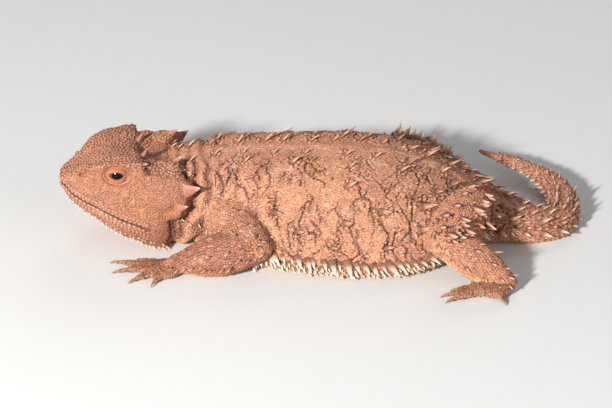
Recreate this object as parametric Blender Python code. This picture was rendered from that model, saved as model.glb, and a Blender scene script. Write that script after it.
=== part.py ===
"""A greater short-horned lizard at life size, crouched on the ground with its tail curled.

The model is in metres with +Z up. The head points to -X and the animal's left side to -Y.
Every length below is in millimetres and becomes metres where a mesh is made. The body is one
loft from the snout to the tip of the tail, parted into nodes by flat cuts. Eyes, horns and
legs are trimmed to it with a small gap, and the spines are joined to the node they grow from.
"""

import math
import random
from typing import NamedTuple

import bmesh
import bpy
import numpy as np
from mathutils import Vector
from mathutils.bvhtree import BVHTree

MM = 0.001
GAP = 0.3  # what touching nodes keep between them
TRIM_GAP = 0.36  # how far a trimming shape stands off, so that the faceted gap stays near GAP
SMALLEST_EDGE = 0.012  # shorter edges left by a union are closed up
SMOOTH_ANGLE = math.radians(40)

# The eye, its lids and the small openings of the head
EYE_RADIUS = 2.05
EYE_PLACE = (-38.5, 6.6, 17.2)  # along the head, out from its centre line, up
EYE_GAZE = (-0.12, 0.985, 0.10)
LID_THICKNESS = 0.5
LID_OPENING = (1.95, 1.3)  # half length and half height
NOSTRIL_PLACE = (-46.0, 3.2, 14.8)
EAR_PLACE = (-30.4, 11.4, 8.6)
LIP_RADIUS = 0.42
MOUTH_WIDTH = 0.36

# Spines: how they are rooted and how much they differ from one another
SPINE_SINK = 0.75  # how deep the middle of a root lies under the skin
SPINE_THICKNESS = 0.62  # thickness of a spine's root over its width
SPINE_VARIATION = 0.2  # share by which lengths vary
SPINE_WANDER = 0.35  # share of the spacing by which a root strays along its row
LEG_SPINE_LEAN = (0.8, 0.6)  # shares of the outward normal and of the way down the leg
LEG_SPINE_WIDTH = 0.62  # width over length
LEG_SPINE_FACING = 0.3  # least cosine between the skin and the way that a line of them faces


class Section(NamedTuple):
    """One cross-section of the body: the place of its centre line and half of its outline."""

    x: float
    y: float
    top: float
    brow_out: float
    brow_up: float
    side_out: float
    side_up: float
    jaw_out: float
    jaw_up: float
    bottom: float


BODY = (
    Section(-49.2, -4.5, 14.1, 0.3, 14.0, 0.4, 13.5, 0.3, 13.0, 12.9),
    Section(-48.9, -4.5, 14.8, 1.2, 14.6, 2.0, 13.3, 1.3, 12.0, 11.7),
    Section(-48.0, -4.3, 15.5, 2.3, 15.1, 3.6, 12.9, 2.7, 10.8, 10.3),
    Section(-46.4, -4.1, 16.2, 3.4, 15.9, 5.2, 12.4, 4.2, 9.6, 8.9),
    Section(-44.2, -3.8, 17.7, 4.8, 17.5, 6.9, 12.0, 5.8, 8.1, 7.3),
    Section(-41.9, -3.4, 19.2, 6.2, 19.0, 8.3, 11.6, 7.1, 6.6, 5.8),
    Section(-39.3, -3.0, 19.9, 7.2, 19.6, 9.4, 11.2, 8.0, 5.0, 4.3),
    Section(-36.5, -2.6, 19.7, 7.8, 19.6, 10.4, 10.9, 8.8, 3.6, 3.0),
    Section(-34.3, -2.2, 19.1, 8.0, 19.3, 11.2, 10.8, 9.4, 2.6, 2.2),
    Section(-33.0, -2.0, 17.8, 7.9, 18.5, 11.5, 10.8, 9.5, 2.2, 1.7),
    Section(-31.0, -1.7, 17.0, 7.4, 18.0, 11.8, 10.6, 9.5, 1.6, 1.2),
    Section(-28.6, -1.4, 16.4, 6.8, 17.0, 11.0, 9.8, 8.8, 1.2, 0.9),
    Section(-26.6, -1.2, 16.2, 6.3, 16.2, 9.8, 9.0, 8.2, 1.3, 0.9),
    Section(-23.5, -0.9, 16.6, 6.6, 15.9, 10.4, 8.3, 8.6, 1.6, 1.0),
    Section(-20.0, -0.5, 17.2, 7.8, 15.9, 13.4, 7.0, 10.8, 1.2, 0.6),
    Section(-15.5, -0.2, 17.7, 9.3, 15.8, 16.4, 5.3, 13.4, 0.4, 0.1),
    Section(-9.0, 0.0, 18.0, 10.5, 15.5, 19.0, 4.2, 15.6, 0.0, -0.3),
    Section(0.0, 0.0, 18.1, 11.5, 15.2, 21.0, 3.5, 17.2, -0.1, -0.4),
    Section(10.0, 0.0, 17.8, 12.2, 14.8, 22.5, 3.3, 18.0, -0.1, -0.4),
    Section(18.0, 0.0, 16.8, 12.0, 13.9, 22.4, 3.4, 17.8, -0.1, -0.4),
    Section(25.0, 0.0, 14.6, 10.6, 12.0, 19.6, 3.8, 15.6, 0.0, -0.4),
    Section(30.0, 0.0, 11.8, 8.0, 10.0, 14.8, 4.2, 12.0, 0.1, -0.3),
    Section(34.5, -0.5, 9.0, 5.6, 7.9, 9.8, 3.9, 8.0, 0.3, -0.2),
    Section(38.5, -1.6, 7.2, 4.3, 6.4, 7.2, 3.3, 6.0, 0.2, -0.2),
    Section(43.5, -3.2, 5.8, 3.2, 5.2, 5.3, 2.8, 4.4, 0.2, -0.15),
    Section(47.8, -3.6, 5.0, 2.6, 4.4, 4.2, 2.5, 3.5, 0.15, -0.1),
    Section(51.0, -1.6, 4.5, 2.3, 4.0, 3.6, 2.2, 3.0, 0.1, -0.1),
    Section(52.3, 2.8, 4.2, 2.0, 3.8, 3.1, 2.1, 2.5, 0.1, -0.1),
    Section(52.4, 8.0, 4.0, 1.7, 3.6, 2.6, 2.1, 2.1, 0.3, 0.0),
    Section(51.2, 13.0, 4.0, 1.4, 3.7, 2.2, 2.3, 1.7, 0.9, 0.6),
    Section(48.2, 17.0, 4.1, 1.1, 3.8, 1.7, 2.7, 1.3, 1.6, 1.4),
    Section(42.7, 20.9, 4.3, 0.8, 4.1, 1.2, 3.3, 0.9, 2.6, 2.4),
    Section(36.2, 24.2, 4.4, 0.25, 4.3, 0.4, 4.1, 0.3, 3.9, 3.85),
)
LAST = len(BODY) - 1


class Stretch(NamedTuple):
    """One node of the loft: its name, its last place along BODY, and its rings and sides."""

    name: str
    end: float
    rings: int
    sides: int


STRETCHES = (
    Stretch("head", 11.0, 16, 28),
    Stretch("neck", 13.55, 4, 28),
    Stretch("torso", 22.0, 15, 32),
    Stretch("tail_base", 24.4, 6, 20),
    Stretch("tail_bend", 27.0, 8, 16),
    Stretch("tail_middle", 29.3, 6, 14),
    Stretch("tail_tip", float(LAST), 6, 12),
)


class Horn(NamedTuple):
    """A horn of the left side by its root and tip, as places on the head, and its root radius."""

    name: str
    root: tuple
    tip: tuple
    radius: float


HORNS = (
    Horn("occipital_horn", (-34.4, 3.6, 17.9), (-32.0, 3.5, 20.9), 1.2),
    Horn("upper_temporal_horn", (-30.1, 6.0, 16.8), (-25.2, 6.0, 19.6), 1.6),
    Horn("main_temporal_horn", (-28.6, 9.2, 14.2), (-22.4, 12.4, 15.7), 2.1),
    Horn("lower_temporal_horn", (-28.8, 10.0, 11.0), (-24.6, 13.2, 12.1), 1.6),
)

LOBES = (
    ((-32.0, 6.4, 14.4), (5.4, 4.2, 4.3)),
    ((-30.2, 7.6, 12.6), (6.2, 4.6, 4.6)),
)  # centre on the head and half sizes of the two swellings that carry the horns of a side


class Segment(NamedTuple):
    """One length of a leg: both ends as (x, out, up), and the radius at start, middle and end."""

    name: str
    start: tuple
    end: tuple
    radii: tuple


class Foot(NamedTuple):
    """A foot: the middle and half sizes of its palm, and the tips of its toes as (x, out)."""

    name: str
    centre: tuple
    half_size: tuple
    toes: tuple
    toe_radius: float


class Leg(NamedTuple):
    """A leg by its side word, its two lengths and its foot."""

    side: str
    segments: tuple
    foot: Foot


LEGS = (
    Leg(
        "left",
        (
            Segment("upper_arm", (-17.0, 10.5, 9.0), (-10.0, 19.4, 6.2), (4.8, 4.4, 3.6)),
            Segment("forearm", (-9.4, 19.6, 5.9), (-25.6, 20.2, 2.6), (3.4, 4.1, 2.1)),
        ),
        Foot(
            "hand",
            (-28.0, 20.1, 1.35),
            (3.7, 3.1, 1.5),
            ((-33.2, 15.4), (-38.2, 16.4), (-37.6, 20.2), (-34.4, 23.8), (-30.2, 24.9)),
            0.9,
        ),
    ),
    Leg(
        "right",
        (
            Segment("upper_arm", (-17.0, 10.5, 9.0), (-10.6, 19.2, 5.6), (4.8, 4.3, 3.5)),
            Segment("forearm", (-10.2, 19.6, 5.2), (-27.4, 18.6, 2.5), (3.4, 3.9, 2.1)),
        ),
        Foot(
            "hand",
            (-29.8, 18.2, 1.35),
            (3.7, 3.1, 1.5),
            ((-34.6, 13.6), (-39.4, 14.6), (-40.0, 18.2), (-37.2, 21.8), (-32.4, 23.2)),
            0.9,
        ),
    ),
    Leg(
        "left",
        (
            Segment("thigh", (33.0, 8.0, 8.0), (27.6, 20.8, 8.0), (5.4, 5.2, 4.2)),
            Segment("shank", (28.0, 21.5, 8.0), (38.8, 26.2, 2.6), (3.9, 3.8, 2.2)),
        ),
        Foot(
            "foot",
            (36.4, 27.8, 1.4),
            (4.4, 2.6, 1.5),
            ((32.4, 25.8), (29.2, 27.2), (27.2, 29.4), (28.0, 31.4), (38.6, 31.8)),
            0.85,
        ),
    ),
    Leg(
        "right",
        (
            Segment("thigh", (29.5, 9.0, 5.4), (18.8, 24.0, 4.4), (4.8, 4.4, 3.5)),
            Segment("shank", (18.2, 25.2, 4.2), (28.4, 25.8, 2.3), (3.3, 3.2, 2.0)),
        ),
        Foot(
            "foot",
            (26.6, 27.2, 1.4),
            (4.4, 2.6, 1.5),
            ((22.0, 26.0), (18.8, 28.0), (17.2, 30.4), (18.8, 32.6), (28.8, 31.2)),
            0.85,
        ),
    ),
)

class SpineRow(NamedTuple):
    """A row of spines on both sides of the body, between two places along BODY.

    The turn says how high up the side it runs. Lengths go evenly from the first to the last
    spine, the width is a share of the length, and lean holds the shares of the outward normal,
    of the way to the tail and of straight up in the direction of a spine.
    """

    nodes: str
    turn: float
    first: float
    last: float
    spacing: float
    lengths: tuple
    width: float
    lean: tuple


SPINE_ROWS = (
    SpineRow("torso", 0.462, 13.9, 21.8, 5.4, (2.1, 2.5), 0.62, (0.75, 0.65, 0.05)),
    SpineRow("torso", 0.412, 14.2, 21.8, 4.8, (2.4, 3.0), 0.60, (0.75, 0.65, 0.05)),
    SpineRow("torso", 0.362, 13.9, 21.8, 4.9, (2.5, 3.2), 0.60, (0.8, 0.6, 0.15)),
    SpineRow("torso", 0.318, 14.6, 21.7, 5.0, (2.0, 2.7), 0.62, (0.8, 0.6, 0.1)),
    SpineRow("torso", 0.285, 15.9, 21.0, 6.2, (1.7, 2.2), 0.64, (0.8, 0.55, 0.0)),
    SpineRow("torso", 0.245, 15.6, 20.8, 2.1, (3.7, 3.9), 0.42, (0.72, 0.45, -0.48)),
    SpineRow("neck", 0.435, 11.4, 13.3, 2.6, (1.6, 2.0), 0.66, (0.7, 0.7, 0.2)),
    SpineRow("neck", 0.360, 11.5, 13.3, 3.0, (1.4, 1.8), 0.66, (0.7, 0.7, 0.1)),
    SpineRow("tail", 0.262, 22.35, 31.5, 2.1, (3.6, 1.3), 0.45, (0.8, 0.55, 0.05)),
    SpineRow("tail", 0.352, 22.4, 31.2, 2.8, (2.8, 1.0), 0.52, (0.6, 0.75, 0.15)),
    SpineRow("tail", 0.445, 22.3, 29.2, 3.2, (2.5, 1.3), 0.56, (0.6, 0.8, 0.1)),
    SpineRow("head", 0.118, 2.4, 10.6, 1.7, (0.9, 2.3), 0.8, (0.75, 0.3, -0.5)),
)


class LegSpines(NamedTuple):
    """Spines in a line along a length of leg, on its side that faces a given way (x, out, up)."""

    segment: str
    facing: tuple
    count: int
    length: float


LEG_SPINES = (
    LegSpines("upper_arm", (0.1, 0.3, 1.0), 3, 1.5),
    LegSpines("forearm", (0.1, 1.0, -0.15), 7, 1.3),
    LegSpines("forearm", (0.5, 0.2, 1.0), 3, 1.2),
    LegSpines("thigh", (0.5, 0.5, 0.9), 4, 2.0),
    LegSpines("thigh", (-0.7, 0.5, 0.6), 3, 1.6),
    LegSpines("shank", (0.7, 0.2, 0.7), 4, 1.6),
    LegSpines("shank", (-0.3, 1.0, 0.1), 5, 1.3),
)


SKIN = (0.62, 0.33, 0.19, 1.0)
COLOURS = {
    "head": (0.68, 0.36, 0.20, 1.0),
    "horn": (0.78, 0.58, 0.44, 1.0),
    "eye": (0.02, 0.012, 0.01, 1.0),
    "tail": (0.50, 0.24, 0.14, 1.0),
    "limb": (0.63, 0.35, 0.18, 1.0),
}


def along(rows, places):
    """Read rows at fractional row numbers on a smooth curve through them (Catmull-Rom)."""
    rows = np.asarray(rows, float)
    places = np.atleast_1d(np.asarray(places, float))
    start = np.clip(places.astype(int), 0, len(rows) - 2)
    part = (places - start).reshape((-1,) + (1,) * (rows.ndim - 1))
    before = rows[np.maximum(start - 1, 0)]
    here = rows[start]
    there = rows[start + 1]
    beyond = rows[np.minimum(start + 2, len(rows) - 1)]
    slope = there - before
    bend = 2 * before - 5 * here + 4 * there - beyond
    twist = 3 * here - before - 3 * there + beyond
    return here + 0.5 * part * (slope + part * (bend + part * twist))


def body_frames(places):
    """Centre points of the body and the level directions along it and out to its left."""
    step = 0.01
    measures = along(BODY, places)
    ahead = along(BODY, np.minimum(places + step, LAST))[:, :2]
    behind = along(BODY, np.maximum(places - step, 0))[:, :2]
    forward = ahead - behind
    forward /= np.linalg.norm(forward, axis=1, keepdims=True)
    left = np.stack([forward[:, 1], -forward[:, 0]], axis=1)
    return measures, forward, left


def body_points(places, turns):
    """Points of the skin. A turn runs from 0 under the belly, up the left side, to 0.5 on top."""
    places = np.atleast_1d(np.asarray(places, float))
    measures, _, left = body_frames(places)
    top, brow_out, brow_up, side_out, side_up, jaw_out, jaw_up, bottom = measures.T[2:]
    none = np.zeros_like(top)
    out = [none, jaw_out, side_out, brow_out, none, -brow_out, -side_out, -jaw_out]
    up = [bottom, jaw_up, side_up, brow_up, top, brow_up, side_up, jaw_up]
    corners = np.stack([np.stack(out), np.stack(up)], axis=2)
    wrapped = np.concatenate([corners[-1:], corners, corners[:2]])
    outline = along(wrapped, np.asarray(turns) % 1.0 * 8 + 1)
    ground = measures[None, :, :2] + outline[:, :, :1] * left[None]
    height = np.maximum(outline[:, :, 1:], 0.0)
    return np.concatenate([ground, height], axis=2).transpose(1, 0, 2)


def skin_at(place, turn):
    """One point of the skin with its outward normal and the direction that runs to the tail."""
    step = 0.02
    point = body_points(place, [turn])[0, 0]
    back = body_points(place + step, [turn])[0, 0] - body_points(place - step, [turn])[0, 0]
    round_it = body_points(place, [turn + step])[0, 0] - body_points(place, [turn - step])[0, 0]
    normal = np.cross(back, round_it)
    length = np.linalg.norm(normal)
    normal = normal / length if length > 0 else np.array((0.0, 0.0, 1.0))
    return point, normal, back / np.linalg.norm(back)


def place_of(x):
    """The place along BODY where the straight part of the centre line passes x."""
    return float(np.interp(x, [row.x for row in BODY[:25]], range(25)))


def head_point(spot, side):
    """A point given as (along the head, out, up), on the left for side 1 and right for -1."""
    measures, _, left = body_frames(np.array([place_of(spot[0])]))
    level = measures[0, :2] + spot[1] * side * left[0]
    return np.array((level[0], level[1], spot[2]))


def head_direction(direction, side):
    """A direction given in the head's own frame, turned with the head and mirrored with side."""
    _, forward, left = body_frames(np.array([5.0]))
    level = direction[0] * forward[0] + direction[1] * side * left[0]
    vector = np.array((level[0], level[1], direction[2]))
    return vector / np.linalg.norm(vector)


def moved_place(place, distance):
    """The place that lies a distance in millimetres further along the centre line."""
    step = 0.05
    two = body_frames(np.clip(np.array([place - step, place + step]), 0, LAST))[0][:, :2]
    return place + distance * 2 * step / max(np.linalg.norm(two[1] - two[0]), 1e-6)


def spaced_places(first, last, spacing):
    """Places from first to last that stand a spacing in millimetres apart."""
    places = []
    place = first
    while place < last:
        places.append(place)
        place = moved_place(place, spacing)
    return places


def new_object(name, points, faces):
    """An object from points in millimetres."""
    mesh = bpy.data.meshes.new(name)
    mesh.from_pydata((np.asarray(points) * MM).tolist(), [], faces)
    mesh.update()
    obj = bpy.data.objects.new(name, mesh)
    bpy.context.scene.collection.objects.link(obj)
    return obj


def loft(name, rings):
    """A closed object through rings of equal length, with a flat face on each end."""
    rings = np.asarray(rings, float)
    count, sides = rings.shape[:2]
    faces = []
    for ring in range(count - 1):
        low = ring * sides
        for k in range(sides):
            after = (k + 1) % sides
            faces.append((low + k, low + sides + k, low + sides + after, low + after))
    faces.append(tuple(range(sides)))
    faces.append(tuple(range((count - 1) * sides, count * sides))[::-1])
    obj = new_object(name, rings.reshape(-1, 3), faces)
    face_out(obj)
    return obj


def face_out(obj):
    """Turn all faces of a closed mesh outwards."""
    work = bmesh.new()
    work.from_mesh(obj.data)
    bmesh.ops.recalc_face_normals(work, faces=work.faces)
    if work.calc_volume(signed=True) < 0:
        bmesh.ops.reverse_faces(work, faces=work.faces)
    work.to_mesh(obj.data)
    work.free()


def body_stretch(name, start, end, rings, sides):
    """The loft of the body between two places, its first ring a gap behind the cut."""
    places = np.linspace(start, end, rings)
    turns = np.arange(sides) / sides
    points = body_points(places, turns)
    if start > 0:
        _, forward, _ = body_frames(places[:1])
        points[0, :, :2] += GAP * forward[0]
    return loft(name, points)


def frame_of(direction, upright=(0.0, 0.0, 1.0)):
    """Two unit vectors across a direction: the level one and the one nearest to upright."""
    direction = np.asarray(direction, float)
    across = np.cross(direction, upright)
    if np.linalg.norm(across) < 1e-6:
        across = np.array((0.0, 1.0, 0.0))
    across /= np.linalg.norm(across)
    return across, np.cross(across, direction)


def tube(name, path, radii, sides, flatness=1.0):
    """A closed tube along a path. Flatness is its height over its width."""
    path = np.asarray(path, float)
    heading = np.gradient(path, axis=0)
    heading /= np.linalg.norm(heading, axis=1, keepdims=True)
    angles = 2 * np.pi * (np.arange(sides) + 0.5) / sides
    rings = []
    for centre, direction, radius in zip(path, heading, radii):
        across, upright = frame_of(direction)
        ring = centre + radius * (
            np.cos(angles)[:, None] * across + flatness * np.sin(angles)[:, None] * upright
        )
        rings.append(ring)
    return loft(name, rings)


def ball(name, centre, half_size, axis=(1.0, 0.0, 0.0), sides=14, rings=8):
    """An ellipsoid whose first half size lies along axis and whose third points up."""
    axis = np.asarray(axis, float) / np.linalg.norm(axis)
    across, upright = frame_of(axis)
    lengthwise = np.pi * (np.arange(rings) + 0.5) / rings
    angles = 2 * np.pi * np.arange(sides) / sides
    loops = []
    for angle in lengthwise:
        loops.append(
            np.asarray(centre)
            - half_size[0] * np.cos(angle) * axis
            + half_size[1] * np.sin(angle) * np.cos(angles)[:, None] * across
            + half_size[2] * np.sin(angle) * np.sin(angles)[:, None] * upright
        )
    return loft(name, loops)


def thorn(root, tip, width, thickness, broad):
    """A keeled spine with four sides from a sunk root to its tip, widest along broad."""
    heading = (tip - root) / np.linalg.norm(tip - root)
    across = broad - np.dot(broad, heading) * heading
    across /= np.linalg.norm(across)
    keel = np.cross(across, heading)
    base = [root + across * width / 2, root + keel * thickness / 2]
    base += [root - across * width / 2, root - keel * thickness / 2]
    faces = [(0, 1, 4), (1, 2, 4), (2, 3, 4), (3, 0, 4), (3, 2, 1, 0)]
    obj = new_object("thorn", base + [tip], faces)
    face_out(obj)
    return obj


def combine(obj, others, operation, solver="MANIFOLD"):
    """Join or cut with all the others in one Boolean, which removes them, and close up slivers."""
    if not others:
        return
    group = bpy.data.collections.new("pieces")
    bpy.context.scene.collection.children.link(group)
    for other in others:
        group.objects.link(other)
    modifier = obj.modifiers.new("join", "BOOLEAN")
    modifier.operation = operation
    modifier.operand_type = "COLLECTION"
    modifier.collection = group
    modifier.solver = solver
    graph = bpy.context.evaluated_depsgraph_get()
    result = bpy.data.meshes.new_from_object(obj.evaluated_get(graph))
    obj.modifiers.clear()
    obj.data = result
    for other in others:
        bpy.data.objects.remove(other)
    bpy.data.collections.remove(group)
    keep_largest(obj)


def keep_largest(obj):
    """Keep only the largest closed surface of a mesh, in triangles without slivers."""
    work = bmesh.new()
    work.from_mesh(obj.data)
    bmesh.ops.triangulate(work, faces=work.faces)
    close_short_edges(work)
    seen = set()
    pieces = []
    for start in work.verts:
        if start in seen:
            continue
        piece = {start}
        edge_of_piece = [start]
        while edge_of_piece:
            vert = edge_of_piece.pop()
            for edge in vert.link_edges:
                other = edge.other_vert(vert)
                if other not in piece:
                    piece.add(other)
                    edge_of_piece.append(other)
        seen |= piece
        pieces.append(piece)
    largest = max(pieces, key=len)
    bmesh.ops.delete(work, geom=[v for v in work.verts if v not in largest], context="VERTS")
    work.to_mesh(obj.data)
    work.free()


def close_short_edges(work):
    """Merge the ends of very short edges wherever the surface stays closed and simple."""
    merged = True
    while merged:
        merged = False
        for edge in list(work.edges):
            if not edge.is_valid or edge.calc_length() > SMALLEST_EDGE * MM:
                continue
            ends = [{other.other_vert(end) for other in end.link_edges} for end in edge.verts]
            if len(ends[0] & ends[1]) == 2:
                place = edge.verts[0].co.copy()
                bmesh.ops.pointmerge(work, verts=list(edge.verts), merge_co=place)
                merged = True


def copy_grown(obj, grow):
    """A copy of a closed mesh with every point moved out along its normal."""
    twin = obj.copy()
    twin.data = obj.data.copy()
    bpy.context.scene.collection.objects.link(twin)
    work = bmesh.new()
    work.from_mesh(twin.data)
    work.normal_update()
    moves = [(vert, vert.normal * (grow * MM * vert.calc_shell_factor())) for vert in work.verts]
    for vert, move in moves:
        vert.co += move
    work.to_mesh(twin.data)
    work.free()
    return twin


def tree_of(obj):
    """A search tree over the faces of an object."""
    vertices = [vert.co.copy() for vert in obj.data.vertices]
    faces = [tuple(face.vertices) for face in obj.data.polygons]
    return BVHTree.FromPolygons(vertices, faces)


def is_clear(points, radius, trees):
    """Whether points given in millimetres stay a radius and the gap away from all trees."""
    for tree in trees:
        for point in points:
            near = tree.find_nearest(Vector(point) * MM)
            if near[3] < (radius + GAP) * MM:
                return False
    return True


def lay_on_floor(obj):
    """Flatten whatever reaches below the floor onto it."""
    for vert in obj.data.vertices:
        vert.co.z = max(vert.co.z, 0.0)


class Lizard:
    """The whole animal. Its methods make the nodes in the order in which they trim each other."""

    def __init__(self):
        """Start with no nodes and a fixed random order."""
        self.nodes = {}
        self.chance = random.Random(11)

    def make(self):
        """Make every node, dress it with spines, and set the model on its origin."""
        self.make_trunk()
        self.make_horns()
        self.make_legs()
        self.open_head()
        self.make_eyes()
        self.add_spines()
        self.finish()

    def make_trunk(self):
        """The stretches of the loft, with the lobes joined to the head and the neck cut clear."""
        start = 0.0
        for stretch in STRETCHES:
            obj = body_stretch(stretch.name, start, stretch.end, stretch.rings, stretch.sides)
            self.nodes[stretch.name] = obj
            start = stretch.end
        combine(self.nodes["neck"], self.lobes(TRIM_GAP), "DIFFERENCE")
        combine(self.nodes["head"], self.lobes(0.0), "UNION")

    def lobes(self, grow):
        """The swellings behind the brows and over the ears, larger all round by grow."""
        made = []
        for centre, half_size in LOBES:
            for side in (1, -1):
                middle = head_point(centre, side)
                axis = head_direction((1.0, 0.25, 0.0), side)
                size = [measure + grow for measure in half_size]
                made.append(ball("lobe", middle, size, axis, 12, 8))
        return made

    def make_horns(self):
        """The horns, each bent slightly upwards and trimmed to the lobe it stands on."""
        for horn in HORNS:
            for side, word in ((1, "left"), (-1, "right")):
                root = head_point(horn.root, side)
                tip = head_point(horn.tip, side)
                share = np.array((0.0, 0.45, 0.8, 1.0))[:, None]
                path = root + (tip - root) * share
                path[:, 2] -= 0.5 * np.sin(np.pi * share[:, 0])
                radii = horn.radius * np.array((1.0, 0.72, 0.36, 0.06))
                obj = tube(f"{word}_{horn.name}", path, radii, 8)
                for parent in ("head", "neck"):
                    combine(obj, [copy_grown(self.nodes[parent], TRIM_GAP)], "DIFFERENCE")
                self.nodes[obj.name] = obj

    def make_legs(self):
        """Four legs, each length trimmed to the trunk and to the length it joins."""
        for leg in LEGS:
            side = 1 if leg.side == "left" else -1
            earlier = []
            for segment in leg.segments:
                start = self.leg_point(segment.start, side)
                end = self.leg_point(segment.end, side)
                obj = self.leg_segment(f"{leg.side}_{segment.name}", start, end, segment.radii)
                self.trim_leg(obj, earlier)
                earlier.append(obj)
            self.trim_leg(self.foot(f"{leg.side}_{leg.foot.name}", leg.foot, side), earlier)

    def leg_point(self, spot, side):
        """A point of a leg given as (x, out, up)."""
        return np.array((spot[0], -spot[1] * side, spot[2]))

    def leg_segment(self, name, start, end, radii):
        """A rounded length of leg between two points."""
        rings = 10
        angle = np.pi * (np.arange(rings) + 0.4) / (rings - 0.2)
        share = 0.5 - 0.5 * np.cos(angle)
        reach = radii[0] * 0.7
        direction = (end - start) / np.linalg.norm(end - start)
        path = start - direction * reach + (end - start + 2 * direction * reach) * share[:, None]
        thick = along(np.array(radii)[:, None], share * 2)[:, 0]
        return tube(name, path, thick * np.sin(angle) ** 0.6, 12)

    def foot(self, name, foot, side):
        """A palm with five jointed toes and their claws, flat on the floor."""
        middle = self.leg_point(foot.centre, side)
        obj = ball(name, middle, foot.half_size, (1.0, 0.0, 0.0), 12, 6)
        pieces = []
        for x, out in foot.toes:
            tip = self.leg_point((x, out, foot.toe_radius * 0.8), side)
            pieces += self.toe(middle, tip, foot.toe_radius)
        combine(obj, pieces, "UNION")
        lay_on_floor(obj)
        return obj

    def toe(self, palm, tip, radius):
        """A toe from inside the palm to its tip, thicker at its joints, and its claw."""
        share = np.array((0.3, 0.55, 0.7, 0.84, 0.96))[:, None]
        path = palm + (tip - palm) * share
        path[:, 2] = radius * np.array((1.2, 1.25, 1.25, 0.95, 0.8))
        radii = radius * np.array((1.0, 1.05, 1.05, 0.85, 0.5))
        direction = (tip - palm) / np.linalg.norm(tip - palm)
        claw_path = np.array([path[-2], path[-1] + 0.1, tip + direction * 0.9])
        claw_path[:, 2] = (radius * 0.9, radius * 1.15, 0.25)
        claw = tube("claw", claw_path, radius * np.array((0.5, 0.42, 0.1)), 4)
        return [tube("toe", path, radii, 6, 0.9), claw]

    def trim_leg(self, obj, earlier):
        """Cut a part of a leg clear of the trunk and of the parts it joins, and keep it."""
        trunk = [self.nodes[stretch.name] for stretch in STRETCHES]
        cutters = [copy_grown(other, TRIM_GAP) for other in trunk]
        cutters += [copy_grown(other, TRIM_GAP) for other in earlier]
        for cutter in cutters:
            combine(obj, [cutter], "DIFFERENCE")
        lay_on_floor(obj)
        self.nodes[obj.name] = obj

    def open_head(self):
        """Lids, sockets, mouth, lips, nostrils and ears of the head."""
        head = self.nodes["head"]
        added = []
        cut = []
        for side in (1, -1):
            gaze = head_direction(EYE_GAZE, side)
            eye = head_point(EYE_PLACE, side)
            dome = EYE_RADIUS + GAP + LID_THICKNESS
            added.append(ball("lids", eye, (dome, dome * 1.06, dome * 0.95), gaze, 16, 8))
            added.append(self.brow_ridge(side))
            hollow = EYE_RADIUS + GAP
            cut.append(ball("socket", eye, (hollow, hollow, hollow), gaze, 14, 8))
            cut.append(self.lid_opening(eye, gaze))
            nostril = head_point(NOSTRIL_PLACE, side)
            nose_way = head_direction((-0.35, 0.8, 0.5), side)
            cut.append(ball("nostril", nostril, (0.8, 0.45, 0.32), nose_way, 8, 6))
            ear = head_point(EAR_PLACE, side)
            cut.append(ball("ear", ear, (0.9, 0.75, 1.25), head_direction((0.2, 1, 0), side), 10, 6))
        upper, lower, groove = self.mouth()
        added += [upper, lower]
        combine(head, added, "UNION")
        combine(head, cut + [groove], "DIFFERENCE")

    def lid_opening(self, eye, gaze):
        """The almond between the lids, as a cutter that runs out along the gaze."""
        across, upright = frame_of(gaze)
        angles = 2 * np.pi * np.arange(16) / 16
        outline = (
            LID_OPENING[0] * np.cos(angles)[:, None] * across
            + LID_OPENING[1] * np.sin(angles)[:, None] * upright
        )
        return loft("opening", [eye + gaze * reach + outline for reach in (0.6, 5.0)])

    def brow_ridge(self, side):
        """The ridge over the eye, which ends behind it in a small point."""
        spots = ((-44.4, 4.8, 17.4), (-42.4, 6.3, 18.6), (-39.8, 7.3, 19.2), (-36.8, 7.7, 19.2))
        spots += ((-34.4, 7.8, 19.0), (-32.1, 8.1, 19.6))
        radii = (0.4, 0.7, 0.8, 0.8, 0.75, 0.12)
        return tube("brow", [head_point(spot, side) for spot in spots], radii, 8)

    def mouth(self):
        """The two lips and the groove between them, from one corner round the snout."""
        places = (9.1, 8.0, 7.0, 6.0, 5.0, 4.0, 3.0, 2.0, 1.2, 0.75)
        turns = (0.172, 0.178, 0.184, 0.190, 0.196, 0.203, 0.211, 0.219, 0.226, 0.229)
        left = [skin_at(place, turn)[0] for place, turn in zip(places, turns)]
        right = [skin_at(place, 1 - turn)[0] for place, turn in zip(places, turns)]
        path = np.array(left + right[::-1])
        count = len(path)
        taper = np.minimum(1.0, np.minimum(np.arange(count), np.arange(count)[::-1]) / 2 + 0.4)
        offset = np.array((0.0, 0.0, LIP_RADIUS + MOUTH_WIDTH / 2 - 0.1))
        upper = tube("upper_lip", path + offset, LIP_RADIUS * taper, 5)
        lower = tube("lower_lip", path - offset, LIP_RADIUS * taper, 5)
        groove = tube("groove", path, 0.75 * taper, 4, 0.36)
        return upper, lower, groove

    def make_eyes(self):
        """The eyeballs, a gap away from their lids."""
        for side, word in ((1, "left"), (-1, "right")):
            gaze = head_direction(EYE_GAZE, side)
            size = (EYE_RADIUS, EYE_RADIUS, EYE_RADIUS)
            obj = ball(f"{word}_eye", head_point(EYE_PLACE, side), size, gaze, 14, 8)
            self.nodes[obj.name] = obj

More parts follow.
